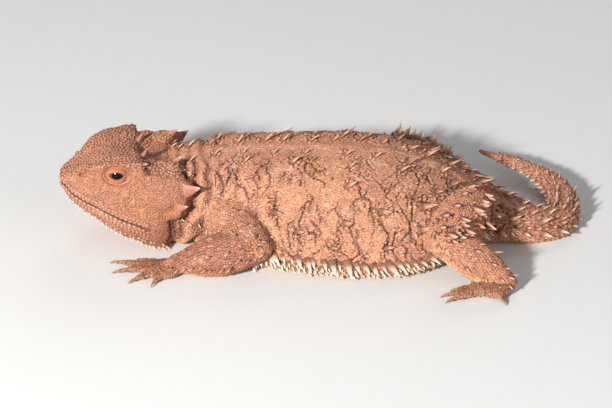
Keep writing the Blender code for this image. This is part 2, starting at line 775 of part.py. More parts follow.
    def add_spines(self):
        """Join the spines of the trunk and the legs to their nodes, clear of every other node."""
        trees = {name: tree_of(obj) for name, obj in self.nodes.items()}
        start = 0.0
        for stretch in STRETCHES:
            others = [tree for other, tree in trees.items() if other != stretch.name]
            made = []
            for row in SPINE_ROWS:
                if stretch.name.startswith(row.nodes):
                    made += self.spine_row(row, start, stretch.end, others)
            start = stretch.end
            combine(self.nodes[stretch.name], made, "UNION")
            trees[stretch.name] = tree_of(self.nodes[stretch.name])
        for leg in LEGS:
            for segment in leg.segments:
                name = f"{leg.side}_{segment.name}"
                others = [tree for other, tree in trees.items() if other != name]
                made = []
                for line in LEG_SPINES:
                    if line.segment == segment.name:
                        made += self.leg_line(line, segment, leg.side, trees[name], others)
                combine(self.nodes[name], made, "UNION")
                trees[name] = tree_of(self.nodes[name])

    def leg_line(self, line, segment, side_word, tree, others):
        """The spines of one line along a length of leg, where it still has skin on that side."""
        side = 1 if side_word == "left" else -1
        start = self.leg_point(segment.start, side)
        end = self.leg_point(segment.end, side)
        heading = (end - start) / np.linalg.norm(end - start)
        facing = self.leg_point(line.facing, side)
        facing = facing - np.dot(facing, heading) * heading
        facing /= np.linalg.norm(facing)
        made = []
        for number in range(line.count):
            share = (number + 0.5 + self.chance.uniform(-0.25, 0.25)) / line.count
            inside = start + (end - start) * share
            hit, normal = tree.ray_cast(Vector(inside) * MM, Vector(facing))[:2]
            if hit is None or np.dot(normal, facing) < LEG_SPINE_FACING:
                continue
            normal = np.array(normal)
            length = line.length * (1 + self.chance.uniform(-1, 1) * SPINE_VARIATION)
            direction = LEG_SPINE_LEAN[0] * normal + LEG_SPINE_LEAN[1] * heading
            broad = np.cross(normal, heading)
            width = LEG_SPINE_WIDTH * length
            spine = self.spine(np.array(hit) / MM, normal, direction, length, width, broad, others)
            if spine:
                made.append(spine)
        return made

    def spine_row(self, row, start, end, others):
        """The spines of one row on both sides that stand between two places and are clear."""
        made = []
        spots = spaced_places(row.first, row.last, row.spacing)
        share_of = (row.last - row.first) or 1.0
        for side in (1, -1):
            for spot in spots:
                wander = self.chance.uniform(-0.5, 0.5) * SPINE_WANDER * row.spacing
                vary = 1 + self.chance.uniform(-1, 1) * SPINE_VARIATION
                place = moved_place(spot, wander)
                if not start <= place < end:
                    continue
                share = (place - row.first) / share_of
                length = vary * (row.lengths[0] + (row.lengths[1] - row.lengths[0]) * share)
                turn = row.turn if side > 0 else 1 - row.turn
                root, normal, back = skin_at(place, turn)
                direction = row.lean[0] * normal + row.lean[1] * back
                direction[2] += row.lean[2]
                broad = np.cross(normal, back)
                spine = self.spine(root, normal, direction, length, row.width * length, broad, others)
                if spine:
                    made.append(spine)
        return made

    def spine(self, root, normal, direction, length, width, broad, others):
        """One spine rooted under the skin, or nothing where it would touch another node."""
        direction = direction / np.linalg.norm(direction)
        tip = root + direction * length
        tip[2] = max(tip[2], 0.25)
        for share in (0.0, 0.35, 0.7, 1.0):
            if not is_clear([root + (tip - root) * share], width / 2 * (1 - share), others):
                return None
        sunk = root - normal * SPINE_SINK
        return thorn(sunk, tip, width * 1.15, width * SPINE_THICKNESS * 1.15, broad)

    def finish(self):
        """Set the middle of the underside on the origin and give every node its material."""
        points = [np.array(vert.co) for obj in self.nodes.values() for vert in obj.data.vertices]
        low = np.min(points, axis=0)
        high = np.max(points, axis=0)
        shift = Vector((-(low[0] + high[0]) / 2, -(low[1] + high[1]) / 2, -low[2]))
        for name, obj in self.nodes.items():
            obj.name = name
            obj.data.name = name
            for vert in obj.data.vertices:
                vert.co += shift
            obj.data.update()
            obj.data.shade_smooth()
            obj.data.set_sharp_from_angle(angle=SMOOTH_ANGLE)
            obj.data.materials.clear()
            obj.data.materials.append(finish_for(name))


def finish_for(name):
    """The material of a node by the kind of part its name tells."""
    kinds = {"head": "head", "horn": "horn", "eye": "eye", "tail": "tail"}
    kind = next((kinds[word] for word in kinds if word in name), None)
    if kind is None:
        limb_words = ("arm", "hand", "thigh", "shank", "foot")
        kind = "limb" if any(word in name for word in limb_words) else "skin"
    material = bpy.data.materials.get(kind) or bpy.data.materials.new(kind)
    material.use_nodes = True
    shader = material.node_tree.nodes["Principled BSDF"]
    shader.inputs["Base Color"].default_value = COLOURS.get(kind, SKIN)
    shader.inputs["Roughness"].default_value = 0.1 if kind == "eye" else 0.75
    shader.inputs["Metallic"].default_value = 0.0
    return material


def main():
    """Clear the scene and build the animal."""
    for obj in list(bpy.data.objects):
        bpy.data.objects.remove(obj)
    Lizard().make()


main()
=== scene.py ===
"""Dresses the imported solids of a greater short-horned lizard for a studio render.

One continuous skin stands for all the flesh. Over it lies the coat as solid meshes: granular and
keeled scales, rosettes and spines, the fringe, the plates of the lips and the lids. Glossy eyes,
ridged horns and claws stay separate. Lengths are in millimetres in the lizard's own frame, with
its snout to -X and its left side to -Y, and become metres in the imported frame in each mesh.
"""
import logging
import math
from collections.abc import Callable, Iterable
from dataclasses import dataclass, field
from enum import Enum

import bmesh
import bpy
import numpy as np
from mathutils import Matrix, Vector


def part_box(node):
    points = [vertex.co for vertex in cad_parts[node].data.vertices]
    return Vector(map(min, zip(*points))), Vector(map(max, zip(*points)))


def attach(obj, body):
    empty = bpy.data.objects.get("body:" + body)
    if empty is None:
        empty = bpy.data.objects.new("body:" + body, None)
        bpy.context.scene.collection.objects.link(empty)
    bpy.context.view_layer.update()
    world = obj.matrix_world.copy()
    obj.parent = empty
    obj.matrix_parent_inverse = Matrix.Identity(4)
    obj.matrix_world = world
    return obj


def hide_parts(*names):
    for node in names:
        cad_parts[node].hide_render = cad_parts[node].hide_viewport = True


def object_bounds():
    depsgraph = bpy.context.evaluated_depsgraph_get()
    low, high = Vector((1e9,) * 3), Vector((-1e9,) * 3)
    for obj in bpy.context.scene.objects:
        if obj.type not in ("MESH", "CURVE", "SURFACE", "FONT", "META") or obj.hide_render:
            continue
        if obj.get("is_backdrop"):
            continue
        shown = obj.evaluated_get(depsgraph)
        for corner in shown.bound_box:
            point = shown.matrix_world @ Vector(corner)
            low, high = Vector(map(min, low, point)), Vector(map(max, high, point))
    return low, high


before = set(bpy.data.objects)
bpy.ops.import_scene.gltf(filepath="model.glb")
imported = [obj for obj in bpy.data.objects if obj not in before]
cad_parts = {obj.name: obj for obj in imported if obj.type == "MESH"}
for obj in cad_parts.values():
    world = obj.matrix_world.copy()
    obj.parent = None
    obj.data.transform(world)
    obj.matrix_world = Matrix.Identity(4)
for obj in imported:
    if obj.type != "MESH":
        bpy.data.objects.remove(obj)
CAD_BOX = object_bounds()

LOG = logging.getLogger("lizard")
MM = 0.001
Spot = tuple[float, float, float]

# The eye and the nostril, as places along the head, out from its centre and up
EYE_RADIUS = 2.05
EYE_PLACE = (-38.5, 6.6, 17.2)
EYE_GAZE = (-0.12, 0.985, 0.10)
NOSTRIL_PLACE = (-44.9, 3.9, 15.8)

# Cross-sections of the body: centre line x and y, then top, brow, side, jaw and bottom outline
BODY = np.array((
    (-49.2, -4.5, 14.1, 0.3, 14.0, 0.4, 13.5, 0.3, 13.0, 12.9),
    (-48.9, -4.5, 14.8, 1.2, 14.6, 2.0, 13.3, 1.3, 12.0, 11.7),
    (-48.0, -4.3, 15.5, 2.3, 15.1, 3.6, 12.9, 2.7, 10.8, 10.3),
    (-46.4, -4.1, 16.2, 3.4, 15.9, 5.2, 12.4, 4.2, 9.6, 8.9),
    (-44.2, -3.8, 17.7, 4.8, 17.5, 6.9, 12.0, 5.8, 8.1, 7.3),
    (-41.9, -3.4, 19.2, 6.2, 19.0, 8.3, 11.6, 7.1, 6.6, 5.8),
    (-39.3, -3.0, 19.9, 7.2, 19.6, 9.4, 11.2, 8.0, 5.0, 4.3),
    (-36.5, -2.6, 19.7, 7.8, 19.6, 10.4, 10.9, 8.8, 3.6, 3.0),
    (-34.3, -2.2, 19.1, 8.0, 19.3, 11.2, 10.8, 9.4, 2.6, 2.2),
    (-33.0, -2.0, 17.8, 7.9, 18.5, 11.5, 10.8, 9.5, 2.2, 1.7),
    (-31.0, -1.7, 17.0, 7.4, 18.0, 11.8, 10.6, 9.5, 1.6, 1.2),
    (-28.6, -1.4, 16.4, 6.8, 17.0, 11.0, 9.8, 8.8, 1.2, 0.9),
    (-26.6, -1.2, 16.2, 6.3, 16.2, 9.8, 9.0, 8.2, 1.3, 0.9),
    (-23.5, -0.9, 16.6, 6.6, 15.9, 10.4, 8.3, 8.6, 1.6, 1.0),
    (-20.0, -0.5, 17.2, 7.8, 15.9, 13.4, 7.0, 10.8, 1.2, 0.6),
    (-15.5, -0.2, 17.7, 9.3, 15.8, 16.4, 5.3, 13.4, 0.4, 0.1),
    (-9.0, 0.0, 18.0, 10.5, 15.5, 19.0, 4.2, 15.6, 0.0, -0.3),
    (0.0, 0.0, 18.1, 11.5, 15.2, 21.0, 3.5, 17.2, -0.1, -0.4),
    (10.0, 0.0, 17.8, 12.2, 14.8, 22.5, 3.3, 18.0, -0.1, -0.4),
    (18.0, 0.0, 16.8, 12.0, 13.9, 22.4, 3.4, 17.8, -0.1, -0.4),
    (25.0, 0.0, 14.6, 10.6, 12.0, 19.6, 3.8, 15.6, 0.0, -0.4),
    (30.0, 0.0, 11.8, 8.0, 10.0, 14.8, 4.2, 12.0, 0.1, -0.3),
    (34.5, -0.5, 9.0, 5.6, 7.9, 9.8, 3.9, 8.0, 0.3, -0.2),
    (38.5, -1.6, 7.2, 4.3, 6.4, 7.2, 3.3, 6.0, 0.2, -0.2),
    (43.5, -3.2, 5.8, 3.2, 5.2, 5.3, 2.8, 4.4, 0.2, -0.15),
    (47.8, -3.6, 5.0, 2.6, 4.4, 4.2, 2.5, 3.5, 0.15, -0.1),
    (51.0, -1.6, 4.5, 2.3, 4.0, 3.6, 2.2, 3.0, 0.1, -0.1),
    (52.3, 2.8, 4.2, 2.0, 3.8, 3.1, 2.1, 2.5, 0.1, -0.1),
    (52.4, 8.0, 4.0, 1.7, 3.6, 2.6, 2.1, 2.1, 0.3, 0.0),
    (51.2, 13.0, 4.0, 1.4, 3.7, 2.2, 2.3, 1.7, 0.9, 0.6),
    (48.2, 17.0, 4.1, 1.1, 3.8, 1.7, 2.7, 1.3, 1.6, 1.4),
    (42.7, 20.9, 4.3, 0.8, 4.1, 1.2, 3.3, 0.9, 2.6, 2.4),
    (36.2, 24.2, 4.4, 0.25, 4.3, 0.4, 4.1, 0.3, 3.9, 3.85),
))
# Row numbers: the last, how many rows run nearly straight, and the ends of head, neck and body
LAST = len(BODY) - 1
STRAIGHT = 25
HEAD_END = 11.4
NECK_END = 13.3
BODY_END = 22.0


class Side(Enum):
    """The two sides of the animal, as the sign that counts outwards."""

    LEFT = 1
    RIGHT = -1

    @property
    def word(self) -> str:
        """The side's name in piece names."""
        return self.name.lower()


class Region(Enum):
    """What a patch of the skin belongs to, which sets its scales, colour and unwrap."""

    TRUNK = 0
    UPPER_LIMB = 1
    LOWER_LIMB = 2
    FOOT = 3

    def has(self, parts: np.ndarray) -> np.ndarray:
        """Whether each row of region and limb names this region."""
        return np.round(parts[:, 0]) == self.value


def catmull(corners: Iterable[np.ndarray], part: np.ndarray) -> np.ndarray:
    """A Catmull-Rom curve between the middle two of four corners.

    Args:
        corners: The corner before, both ends and the corner beyond.
        part: How far from the first end to the second, from 0 to 1.

    Returns:
        The point of the curve.
    """
    before, here, there, beyond = corners
    bend = 2 * before - 5 * here + 4 * there - beyond
    twist = 3 * here - before - 3 * there + beyond
    return here + 0.5 * part * (there - before + part * (bend + part * twist))


def along(rows: np.ndarray, places: np.ndarray) -> np.ndarray:
    """Read rows at fractional row numbers on a Catmull-Rom curve through them.

    Args:
        rows: Values at whole row numbers.
        places: Row numbers, of any count.

    Returns:
        One row of values for each place.
    """
    rows, places = np.asarray(rows, float), np.asarray(places, float)
    start = np.clip(places.astype(int), 0, len(rows) - 2)
    part = (places - start).reshape((-1,) + (1,) * (rows.ndim - 1))
    return catmull((rows[np.clip(start + step, 0, len(rows) - 1)] for step in (-1, 0, 1, 2)), part)


def unit(vectors: np.ndarray) -> np.ndarray:
    """Vectors divided by their lengths."""
    return vectors / np.maximum(np.linalg.norm(vectors, axis=-1, keepdims=True), 1e-12)


def lattice_noise(points: np.ndarray, seed: int) -> np.ndarray:
    """Smooth noise from -1 to 1: random values on a unit lattice, blended by a cubic fade.

    Args:
        points: Coordinates in lattice steps, one row for each point.
        seed: Picks another lattice.

    Returns:
        One value for each point.
    """
    base = np.floor(points).astype(np.int64)
    part = points - base
    fade = part * part * (3 - 2 * part)
    primes = np.array((73856093, 19349663, 83492791), np.int64)[: points.shape[1]]
    total = np.zeros(len(points))
    for corner in np.ndindex(*(2,) * points.shape[1]):
        mixed = ((base + np.array(corner)) * primes).sum(1) + seed * 374761393
        mixed = (mixed ^ (mixed >> 13)) * 1274126177
        value = ((mixed ^ (mixed >> 16)) & 0xFFFFFF) / 0x7FFFFF - 1.0
        total += value * np.where(np.array(corner) == 1, fade, 1 - fade).prod(1)
    return total


def smooth_step(low: float, high: float, values: np.ndarray) -> np.ndarray:
    """A cubic step from 0 at low to 1 at high."""
    share = np.clip((np.asarray(values, float) - low) / (high - low), 0.0, 1.0)
    return share * share * (3 - 2 * share)


def bell(gap: np.ndarray, width: float) -> np.ndarray:
    """A bell shape: 1 where the gap is nothing, about a third at a width."""
    return np.exp(-(gap / width) ** 2)


def circle(count: int, shift: float = 0.0) -> np.ndarray:
    """Angles of evenly spaced points of a ring, moved on by a share of their step."""
    return 2 * np.pi * (np.arange(count) + shift) / count


def pole_angles(count: int) -> np.ndarray:
    """Angles from nearly 0 to nearly half a turn, for rings that close in a pole at each end."""
    return np.pi * (np.arange(count) + 0.02) / (count - 0.96)


def runs_of(line: np.ndarray) -> np.ndarray:
    """The distance along a line of points to each of them."""
    return np.concatenate([[0.0], np.cumsum(np.linalg.norm(np.diff(line, axis=0), axis=1))])


def girth_of(ring: np.ndarray) -> float:
    """The length of a closed ring of points."""
    return np.linalg.norm(ring - np.roll(ring, 1, 0), axis=1).sum()


def site_of(place: np.ndarray, angle: np.ndarray) -> np.ndarray:
    """A site, which is a place with the cosine and sine of its turn, so that it can be blended."""
    return np.stack([place, np.cos(angle), np.sin(angle)], axis=-1)


def turn_of(site: np.ndarray) -> np.ndarray:
    """The turns of sites, from 0 to 1."""
    return np.arctan2(site[:, 2], site[:, 1]) / (2 * np.pi) % 1.0


class Trunk:
    """The loft of head, body and tail as a function of a place along it and a turn around it.

    A turn runs from 0 under the belly, up the left side, to 0.5 on top and on down the right.
    """

    def __init__(self) -> None:
        """Measure the girth and the length of the loft at its sections."""
        turns = np.arange(64) / 64
        rings = [self.points(np.full(64, float(row)), turns) for row in range(len(BODY))]
        self.girths = np.array([girth_of(ring) for ring in rings])
        self.runs = runs_of(BODY[:, :2])

    def frames(self, places: np.ndarray) -> tuple[np.ndarray, np.ndarray, np.ndarray]:
        """The sections at places.

        Args:
            places: Row numbers.

        Returns:
            Their measures, and the level directions along the body and out to its left.
        """
        step = 0.01
        ahead = along(BODY, np.minimum(places + step, LAST))[:, :2]
        behind = along(BODY, np.maximum(places - step, 0))[:, :2]
        forward = unit(ahead - behind)
        return along(BODY, places), forward, np.stack([forward[:, 1], -forward[:, 0]], axis=1)

    def points(self, places: np.ndarray, turns: np.ndarray) -> np.ndarray:
        """Points of the surface: eight outline corners a section, joined by Catmull-Rom curves.

        Args:
            places: Row numbers.
            turns: One turn for each place.

        Returns:
            One point for each place, never below the ground.
        """
        places = np.asarray(places, float)
        measures, _, left = self.frames(places)
        top, brow_out, brow_up, side_out, side_up, jaw_out, jaw_up, bottom = measures.T[2:]
        none = np.zeros_like(top)
        out = np.stack([none, jaw_out, side_out, brow_out, none, -brow_out, -side_out, -jaw_out])
        up = np.stack([bottom, jaw_up, side_up, brow_up, top, brow_up, side_up, jaw_up])
        turn = np.asarray(turns, float) % 1.0 * 8
        start, part = np.floor(turn).astype(int) % 8, turn - np.floor(turn)
        index = np.arange(len(places))
        across, height = (catmull((corners[(start + step) % 8, index] for step in (-1, 0, 1, 2)),
                                  part) for corners in (out, up))
        level = measures[:, :2] + across[:, None] * left
        return np.column_stack([level, np.maximum(height, 0.0)])

    def site(self, places: np.ndarray, turns: np.ndarray) -> tuple[np.ndarray, ...]:
        """Points of the surface with their directions.

        Args:
            places: Row numbers.
            turns: One turn for each place, or one for all.

        Returns:
            The points, their outward normals and the directions to the tail.
        """
        places = np.clip(np.asarray(places, float), 0.05, LAST - 0.05)
        turns = np.broadcast_to(np.asarray(turns, float), places.shape)
        step = 0.02
        back = self.points(places + step, turns) - self.points(places - step, turns)
        round_it = self.points(places, turns + step) - self.points(places, turns - step)
        return self.points(places, turns), unit(np.cross(back, round_it)), unit(back)

    def grid(self, places: np.ndarray, sides: int) -> tuple[np.ndarray, np.ndarray]:
        """Rings of the surface.

        Args:
            places: The row number of each ring.
            sides: Points of a ring.

        Returns:
            Points and their sites, both as (ring, side, 3).
        """
        grid_places, turns = np.meshgrid(places, np.arange(sides) / sides, indexing="ij")
        flat = self.points(grid_places.ravel(), turns.ravel())
        return flat.reshape(len(places), sides, 3), site_of(grid_places, 2 * np.pi * turns)

    def place_of(self, x: np.ndarray) -> np.ndarray:
        """The place where the straight part of the centre line passes x."""
        return np.interp(x, BODY[:STRAIGHT, 0], np.arange(float(STRAIGHT)))

    def run_at(self, places: np.ndarray) -> np.ndarray:
        """Distances along the centre line to places."""
        return np.interp(places, np.arange(LAST + 1), self.runs)

    def girth_at(self, places: np.ndarray) -> np.ndarray:
        """Girths at places."""
        return np.interp(places, np.arange(LAST + 1), self.girths)

    def head_point(self, spot: Spot, side: Side) -> np.ndarray:
        """A point given as (along the head, out, up) on one side."""
        measures, _, left = self.frames(np.array([self.place_of(spot[0])]))
        return np.array((*(measures[0, :2] + spot[1] * side.value * left[0]), spot[2]))

    def head_direction(self, way: Spot, side: Side) -> np.ndarray:
        """A direction given in the head's own frame, turned with the head."""
        _, forward, left = self.frames(np.array([5.0]))
        return unit(np.array((*(way[0] * forward[0] + way[1] * side.value * left[0]), way[2])))

    def spaced(self, first: float, last: float, spacing: float) -> np.ndarray:
        """Places from first to last that stand a spacing in millimetres apart."""
        stations = np.arange(*self.run_at((first, last)), spacing)
        return np.interp(stations, self.runs, np.arange(LAST + 1))


TRUNK = Trunk()


def packed_shift() -> np.ndarray:
    """The step in millimetres from the lizard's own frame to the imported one, read at its eye."""
    low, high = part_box("left_eye")
    return np.array((low + high) / 2) / MM - TRUNK.head_point(EYE_PLACE, Side.LEFT)


SHIFT = packed_shift()


def put_points(mesh: bpy.types.Mesh, points: np.ndarray) -> None:
    """Set the vertices from millimetres of the lizard's frame."""
    mesh.vertices.foreach_set("co", ((points + SHIFT) * MM).astype(np.float32).ravel())


def get_points(mesh: bpy.types.Mesh) -> np.ndarray:
    """The vertices in millimetres of the lizard's frame."""
    values = np.empty(len(mesh.vertices) * 3, np.float32)
    mesh.vertices.foreach_get("co", values)
    return values.reshape(-1, 3) / MM - SHIFT


def new_object(name: str, points: np.ndarray, faces: np.ndarray) -> bpy.types.Object:
    """An object from points in millimetres of the lizard's frame.

    Args:
        name: The piece's name.
        points: One row for each vertex.
        faces: One row of vertex numbers for each face, all with the same count.

    Returns:
        The linked object, with its place in its mesh.
    """
    mesh = bpy.data.meshes.new(name)
    mesh.vertices.add(len(points))
    put_points(mesh, points)
    mesh.loops.add(faces.size)
    mesh.loops.foreach_set("vertex_index", faces.astype(np.int32).ravel())
    mesh.polygons.add(len(faces))
    starts = np.arange(0, faces.size, faces.shape[1], dtype=np.int32)
    mesh.polygons.foreach_set("loop_start", starts)
    mesh.update(calc_edges=True)
    mesh.shade_smooth()
    obj = bpy.data.objects.new(name, mesh)
    bpy.context.scene.collection.objects.link(obj)
    return obj


def set_attribute(obj: bpy.types.Object, name: str, values: np.ndarray) -> None:
    """Store one value or one vector for each vertex."""
    kind, key = ("FLOAT_VECTOR", "vector") if values.ndim == 2 else ("FLOAT", "value")
    layer = obj.data.attributes.new(name, kind, "POINT")
    layer.data.foreach_set(key, values.astype(np.float32).ravel())


def get_attribute(mesh: bpy.types.Mesh, name: str, width: int = 1) -> np.ndarray:
    """Read the stored values of each vertex, as vectors with a width of 3."""
    values = np.empty(len(mesh.vertices) * width, np.float32)
    mesh.attributes[name].data.foreach_get("vector" if width == 3 else "value", values)
    return (values.reshape(-1, 3) if width == 3 else values).astype(float)


def dress(obj: bpy.types.Object, material: bpy.types.Material, slot: str,
          **values: np.ndarray) -> None:
    """Give a piece its stored values, its material and its body.

    Args:
        obj: The piece.
        material: What it is made of.
        slot: Not used.
        **values: One value or vector for each vertex, by name.
    """
    for name, value in values.items():
        set_attribute(obj, name, value)
    obj.data.materials.append(material)
    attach(obj, "root")
    LOG.info("%s: %d faces", obj.name, len(obj.data.polygons))


def grid_faces(rings: int, sides: int) -> np.ndarray:
    """Quads between rings of equal length, closed around, for a tube whose ends meet in poles.

    Args:
        rings: Count of rings.
        sides: Points of a ring.

    Returns:
        Four vertex numbers for each quad.
    """
    ring, side = np.meshgrid(np.arange(rings - 1), np.arange(sides), indexing="ij")
    after = (side + 1) % sides
    low, high = ring * sides, (ring + 1) * sides
    return np.stack([low + side, low + after, high + after, high + side], axis=-1).reshape(-1, 4)


def seam_faces(rings: int, sides: int) -> np.ndarray:
    """Quads that join the last of some rings to the first.

    Args:
        rings: Count of rings.
        sides: Points of a ring.

    Returns:
        Four vertex numbers for each quad.
    """
    side = np.arange(sides)
    after, last = np.roll(side, -1), (rings - 1) * sides
    return np.stack([last + side, last + after, after, side], axis=1)


def outward(faces: np.ndarray, rings: np.ndarray) -> np.ndarray:
    """Faces in the order that makes them point out, told by the volume that they enclose.

    Args:
        faces: Quads of a closed surface.
        rings: Its points as (ring, side, 3).

    Returns:
        The faces, turned over where they point in.
    """
    points = rings.reshape(-1, 3) - rings.reshape(-1, 3).mean(0)
    corners = points[faces]
    volume = (corners[:, 0] * np.cross(corners[:, 1], corners[:, 2])).sum()
    volume += (corners[:, 0] * np.cross(corners[:, 2], corners[:, 3])).sum()
    return faces if volume > 0 else faces[:, ::-1]


def towards(faces: np.ndarray, points: np.ndarray, probe: int, way: np.ndarray) -> np.ndarray:
    """Faces in the order that makes one of them look the given way.

    Args:
        faces: The faces.
        points: The vertices.
        probe: The number of the face that is looked at.
        way: The direction that it has to face.

    Returns:
        The faces, all turned over where that one faces away.
    """
    corners = points[faces[probe]]
    facing = np.cross(corners[1] - corners[0], corners[2] - corners[1])
    return faces if facing @ way > 0 else faces[:, ::-1]


@dataclass
class Patch:
    """A closed surface of rings with what the skin keeps of it.

    Attributes:
        rings: Points as (ring, side, 3), with both end rings drawn together to a pole.
        sites: The site of each point on its trunk or limb.
        region: What the patch belongs to.
        limb: Which limb, or 0 for the trunk.
    """

    rings: np.ndarray
    sites: np.ndarray
    region: Region = Region.TRUNK
    limb: int = 0


def swept(path: np.ndarray, radii: np.ndarray, sides: int, flatness: float = 1.0) -> np.ndarray:
    """Rings round a path: at each point a level and an upright radius across its direction.

    Args:
        path: Points of the centre line.
        radii: One level radius for each point.
        sides: Points of a ring.
        flatness: Upright radius over level radius.

    Returns:
        Points as (ring, side, 3).
    """
    heading = unit(np.gradient(path, axis=0))
    across = unit(np.cross(heading, (0.0, 0.0, 1.0)))
    upright = np.cross(across, heading)
    angles = circle(sides, 0.5)[None, :, None]
    ring = np.cos(angles) * across[:, None] + flatness * np.sin(angles) * upright[:, None]
    return path[:, None] + np.asarray(radii)[:, None, None] * ring


def ellipsoid(centre: np.ndarray, half: tuple[float, ...], axis: np.ndarray, sides: int = 24,
              rings: int = 14) -> np.ndarray:
    """Rings of an ellipsoid: circles whose reach is the sine, and whose place the cosine, of an
    angle from pole to pole.

    Args:
        centre: Its middle.
        half: Half sizes along the axis, level across it and upright.
        axis: The direction from pole to pole.
        sides: Points of a ring.
        rings: Count of rings.

    Returns:
        Points as (ring, side, 3).
    """
    axis = unit(np.asarray(axis, float))
    across = unit(np.cross(axis, (0.0, 0.0, 1.0)))
    upright = np.cross(across, axis)
    angle, turn = pole_angles(rings)[:, None, None], circle(sides)[None, :, None]
    rounds = half[1] * np.cos(turn) * across + half[2] * np.sin(turn) * upright
    return centre - half[0] * np.cos(angle) * axis + np.sin(angle) * rounds


def head_sites(points: np.ndarray) -> np.ndarray:
    """The sites of the trunk nearest to points on the swellings of the head.

    Args:
        points: Points of any count and arrangement.

    Returns:
        Their sites in the same arrangement.
    """
    flat = points.reshape(-1, 3)
    places = TRUNK.place_of(flat[:, 0])
    measures, _, left = TRUNK.frames(places)
    out = ((flat[:, :2] - measures[:, :2]) * left).sum(1)
    up = flat[:, 2] - (measures[:, 2] + measures[:, 9]) / 2
    return site_of(places, np.arctan2(out, -up)).reshape(points.shape)


@dataclass(frozen=True)
class Segment:
    """One length of a leg: both ends as (x, out, up), and the radii at start, middle and end."""

    start: Spot
    end: Spot
    radii: Spot


@dataclass(frozen=True)
class Leg:
    """A leg: its side, names, two lengths, its palm and the tips of its toes as (x, out)."""

    side: Side
    names: tuple[str, str, str]
    upper: Segment
    lower: Segment
    palm: Spot
    palm_half: Spot
    toes: tuple[tuple[float, float], ...]
    toe_radius: float

    def point(self, spot: Spot) -> np.ndarray:
        """A point or direction of the leg given as (x, out, up)."""
        return np.array((spot[0], -spot[1] * self.side.value, spot[2]))

    def lengths(self) -> tuple[tuple[Segment, Region], ...]:
        """Both lengths with their regions."""
        return (self.upper, Region.UPPER_LIMB), (self.lower, Region.LOWER_LIMB)

    def way(self, segment: Segment) -> np.ndarray:
        """The direction of a length."""
        return unit(self.point(segment.end) - self.point(segment.start))

    def length(self, segment: Segment, rings: int = 40) -> tuple[np.ndarray, np.ndarray]:
        """The tube of a length: its radius falls to the rounded ends as a power of a sine.

        Args:
            segment: The length.
            rings: Count of rings.

        Returns:
            The centre line and the radii.
        """
        start, end, way = self.point(segment.start), self.point(segment.end), self.way(segment)
        angle = pole_angles(rings)
        share = 0.5 - 0.5 * np.cos(angle)
        reach = segment.radii[0] * 0.7
        path = start - way * reach + (end - start + 2 * way * reach) * share[:, None]
        thick = along(np.array(segment.radii)[:, None], share * 2)[:, 0]
        return path, thick * np.sin(angle) ** 0.6

    def toe(self, tip_spot: tuple[float, float], rings: int = 30) -> tuple[np.ndarray, np.ndarray]:
        """A toe from inside the palm to its tip, which tapers and swells at three joints.

        Args:
            tip_spot: Its tip as (x, out).
            rings: Count of rings.

        Returns:
            The centre line and the radii.
        """
        palm, tip = self.point(self.palm), self.point((*tip_spot, self.toe_radius * 0.8))
        path = palm + (tip - palm) * np.linspace(0.2, 0.97, rings)[:, None]
        heights = np.array(((1.1,), (1.25,), (1.3,), (1.2,), (0.9,)))
        inner = np.linspace(0, 1, rings)
        path[:, 2] = self.toe_radius * along(heights, inner * 4)[:, 0]
        joints = 1 + 0.1 * np.cos(2 * np.pi * 3 * inner)
        taper = 1.05 - 0.38 * inner ** 2
        ends = np.clip(np.minimum(inner, 1 - inner) * 9, 0.03, 1.0) ** 0.5
        return path, self.toe_radius * taper * joints * ends

    def claw(self, tip_spot: tuple[float, float], rings: int = 12) -> tuple[np.ndarray, np.ndarray]:
        """A claw that arches out of the toe's tip and down to the ground on a parabola.

        Args:
            tip_spot: The tip of the toe as (x, out).
            rings: Count of rings.

        Returns:
            The centre line and the radii.
        """
        tip = self.point((*tip_spot, 0.0))
        level = unit((tip - self.point(self.palm)) * (1.0, 1.0, 0.0))
        share = np.linspace(0, 1, rings)[:, None]
        path = tip + level * (-0.7 + 1.65 * share)
        arch = self.toe_radius * 0.85 + 0.5 * share - 1.05 * share ** 2
        path = path * (1, 1, 0) + arch * (0, 0, 1)
        return path, 0.29 * (1 - share[:, 0]) ** 0.7 + 0.02


@dataclass(frozen=True)
class Horn:
    """A horn of the crown.

    Attributes:
        name: Its name without the side.
        root: Its root as (along the head, out, up).
        tip: Its tip in the same way.
        radius: Its size at the root.
        level: Level half width over the radius.
        upright: Upright half width over the radius.
    """

    name: str
    root: Spot
    tip: Spot
    radius: float
    level: float = 0.66
    upright: float = 1.3


